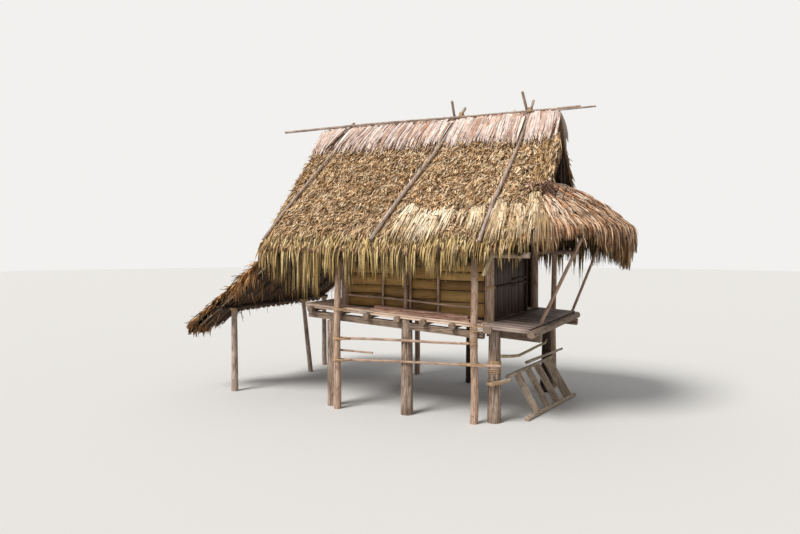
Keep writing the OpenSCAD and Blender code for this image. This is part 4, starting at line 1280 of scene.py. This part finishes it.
# How far out members are looked for round an upright line and at the ridge. The cord: its radius,
# its points to a turn, how far it wanders along the line, where it lies when nothing is there, how
# nearly straight it bridges hollows, and how often it is pulled tight
POST_REACH = 0.28
RIDGE_REACH = 0.12
CORD_RADIUS = 0.007
CORD_STEPS = 22
CORD_SWAY = 0.012
CORD_LOOSE = 0.03
CORD_BRIDGE = 0.985
CORD_PULLS = 14


def wind(rng, nodes, middle, line, turns, pitch):
    """Points of a cord wound round whatever stands at a place, pulled tight"""
    tree = search_tree(*nodes.split())
    far = POST_REACH if line is Z else RIDGE_REACH
    line = Vector(line)
    side = line.orthogonal().normalized()
    other = line.cross(side)
    spans, ways, places = [], [], []
    for k in range(turns * CORD_STEPS + 1):
        angle = math.tau * k / CORD_STEPS
        way = side * math.cos(angle) + other * math.sin(angle)
        rise = pitch * (k / CORD_STEPS - turns / 2) + CORD_SWAY * math.sin(angle + turns)
        at = Vector(middle) + line * rise
        hit = tree.ray_cast(at + way * far, -way, far)[0]
        spans.append((hit - at).length if hit else CORD_LOOSE)
        ways.append(way)
        places.append(at)
    spans = np.array(spans)
    for _ in range(CORD_PULLS):
        spans[1:-1] = np.maximum(spans[1:-1], (spans[:-2] + spans[2:]) * 0.5 * CORD_BRIDGE)
    spans += CORD_RADIUS * rng.uniform(0.7, 1.1)
    return [at + way * s for at, way, s in zip(places, ways, spans)]


class HOUSE_OT_lashings(bpy.types.Operator):
    """Split vine wound round the joints of posts, rails and poles"""
    bl_idname = "house.lashings"
    bl_label = "Lashings"

    def execute(self, context):
        rng = np.random.default_rng(33)
        bpy.ops.curve.primitive_nurbs_path_add()
        cord = context.object
        cord.name = cord.data.name = "lashings"
        cord.data.splines.clear()
        for lashing in LASHINGS:
            points = wind(rng, *lashing)
            spline = cord.data.splines.new("POLY")
            spline.points.add(len(points) - 1)
            spline.points.foreach_set("co", [c for p in points for c in (*p, 1.0)])
        cord.data.bevel_depth, cord.data.bevel_resolution = CORD_RADIUS, 1
        cord.data.use_fill_caps = True
        cord.location = (0, 0, 0)
        bpy.ops.object.convert(target="MESH")
        bpy.ops.object.shade_smooth()
        place_piece(context.object, wood_material("Split vine", Z, VINE, 20, 0.3, 0.002),
                    "tan_pole")
        return {"FINISHED"}


STEPS = [HOUSE_OT_stage, HOUSE_OT_timber, HOUSE_OT_field, HOUSE_OT_fringe, HOUSE_OT_ridge,
         HOUSE_OT_tufts, HOUSE_OT_skirt, HOUSE_OT_lean_to, HOUSE_OT_walls, HOUSE_OT_floors,
         HOUSE_OT_lashings]


class HOUSE_PT_panel(bpy.types.Panel):
    """Lists the settings and the steps"""
    bl_label = "Stilt house"
    bl_idname = "HOUSE_PT_panel"
    bl_space_type = "VIEW_3D"
    bl_region_type = "UI"
    bl_category = "Stilt House"

    def draw(self, context):
        for group in (context.scene.house_thatch, context.scene.house_stage):
            for key in group.bl_rna.properties.keys():
                if key not in ("rna_type", "name"):
                    self.layout.prop(group, key)
        for step in STEPS:
            self.layout.operator(step.bl_idname)


CLASSES = [ThatchSettings, StageSettings, *STEPS, HOUSE_PT_panel]


def register():
    for c in CLASSES:
        bpy.utils.register_class(c)
    bpy.types.Scene.house_thatch = bpy.props.PointerProperty(type=ThatchSettings)
    bpy.types.Scene.house_stage = bpy.props.PointerProperty(type=StageSettings)


def unregister():
    del bpy.types.Scene.house_stage
    del bpy.types.Scene.house_thatch
    for c in reversed(CLASSES):
        bpy.utils.unregister_class(c)


def main():
    register()
    for step in STEPS:
        getattr(bpy.ops.house, step.bl_idname.split(".")[1])()


if __name__ == "__main__":
    main()
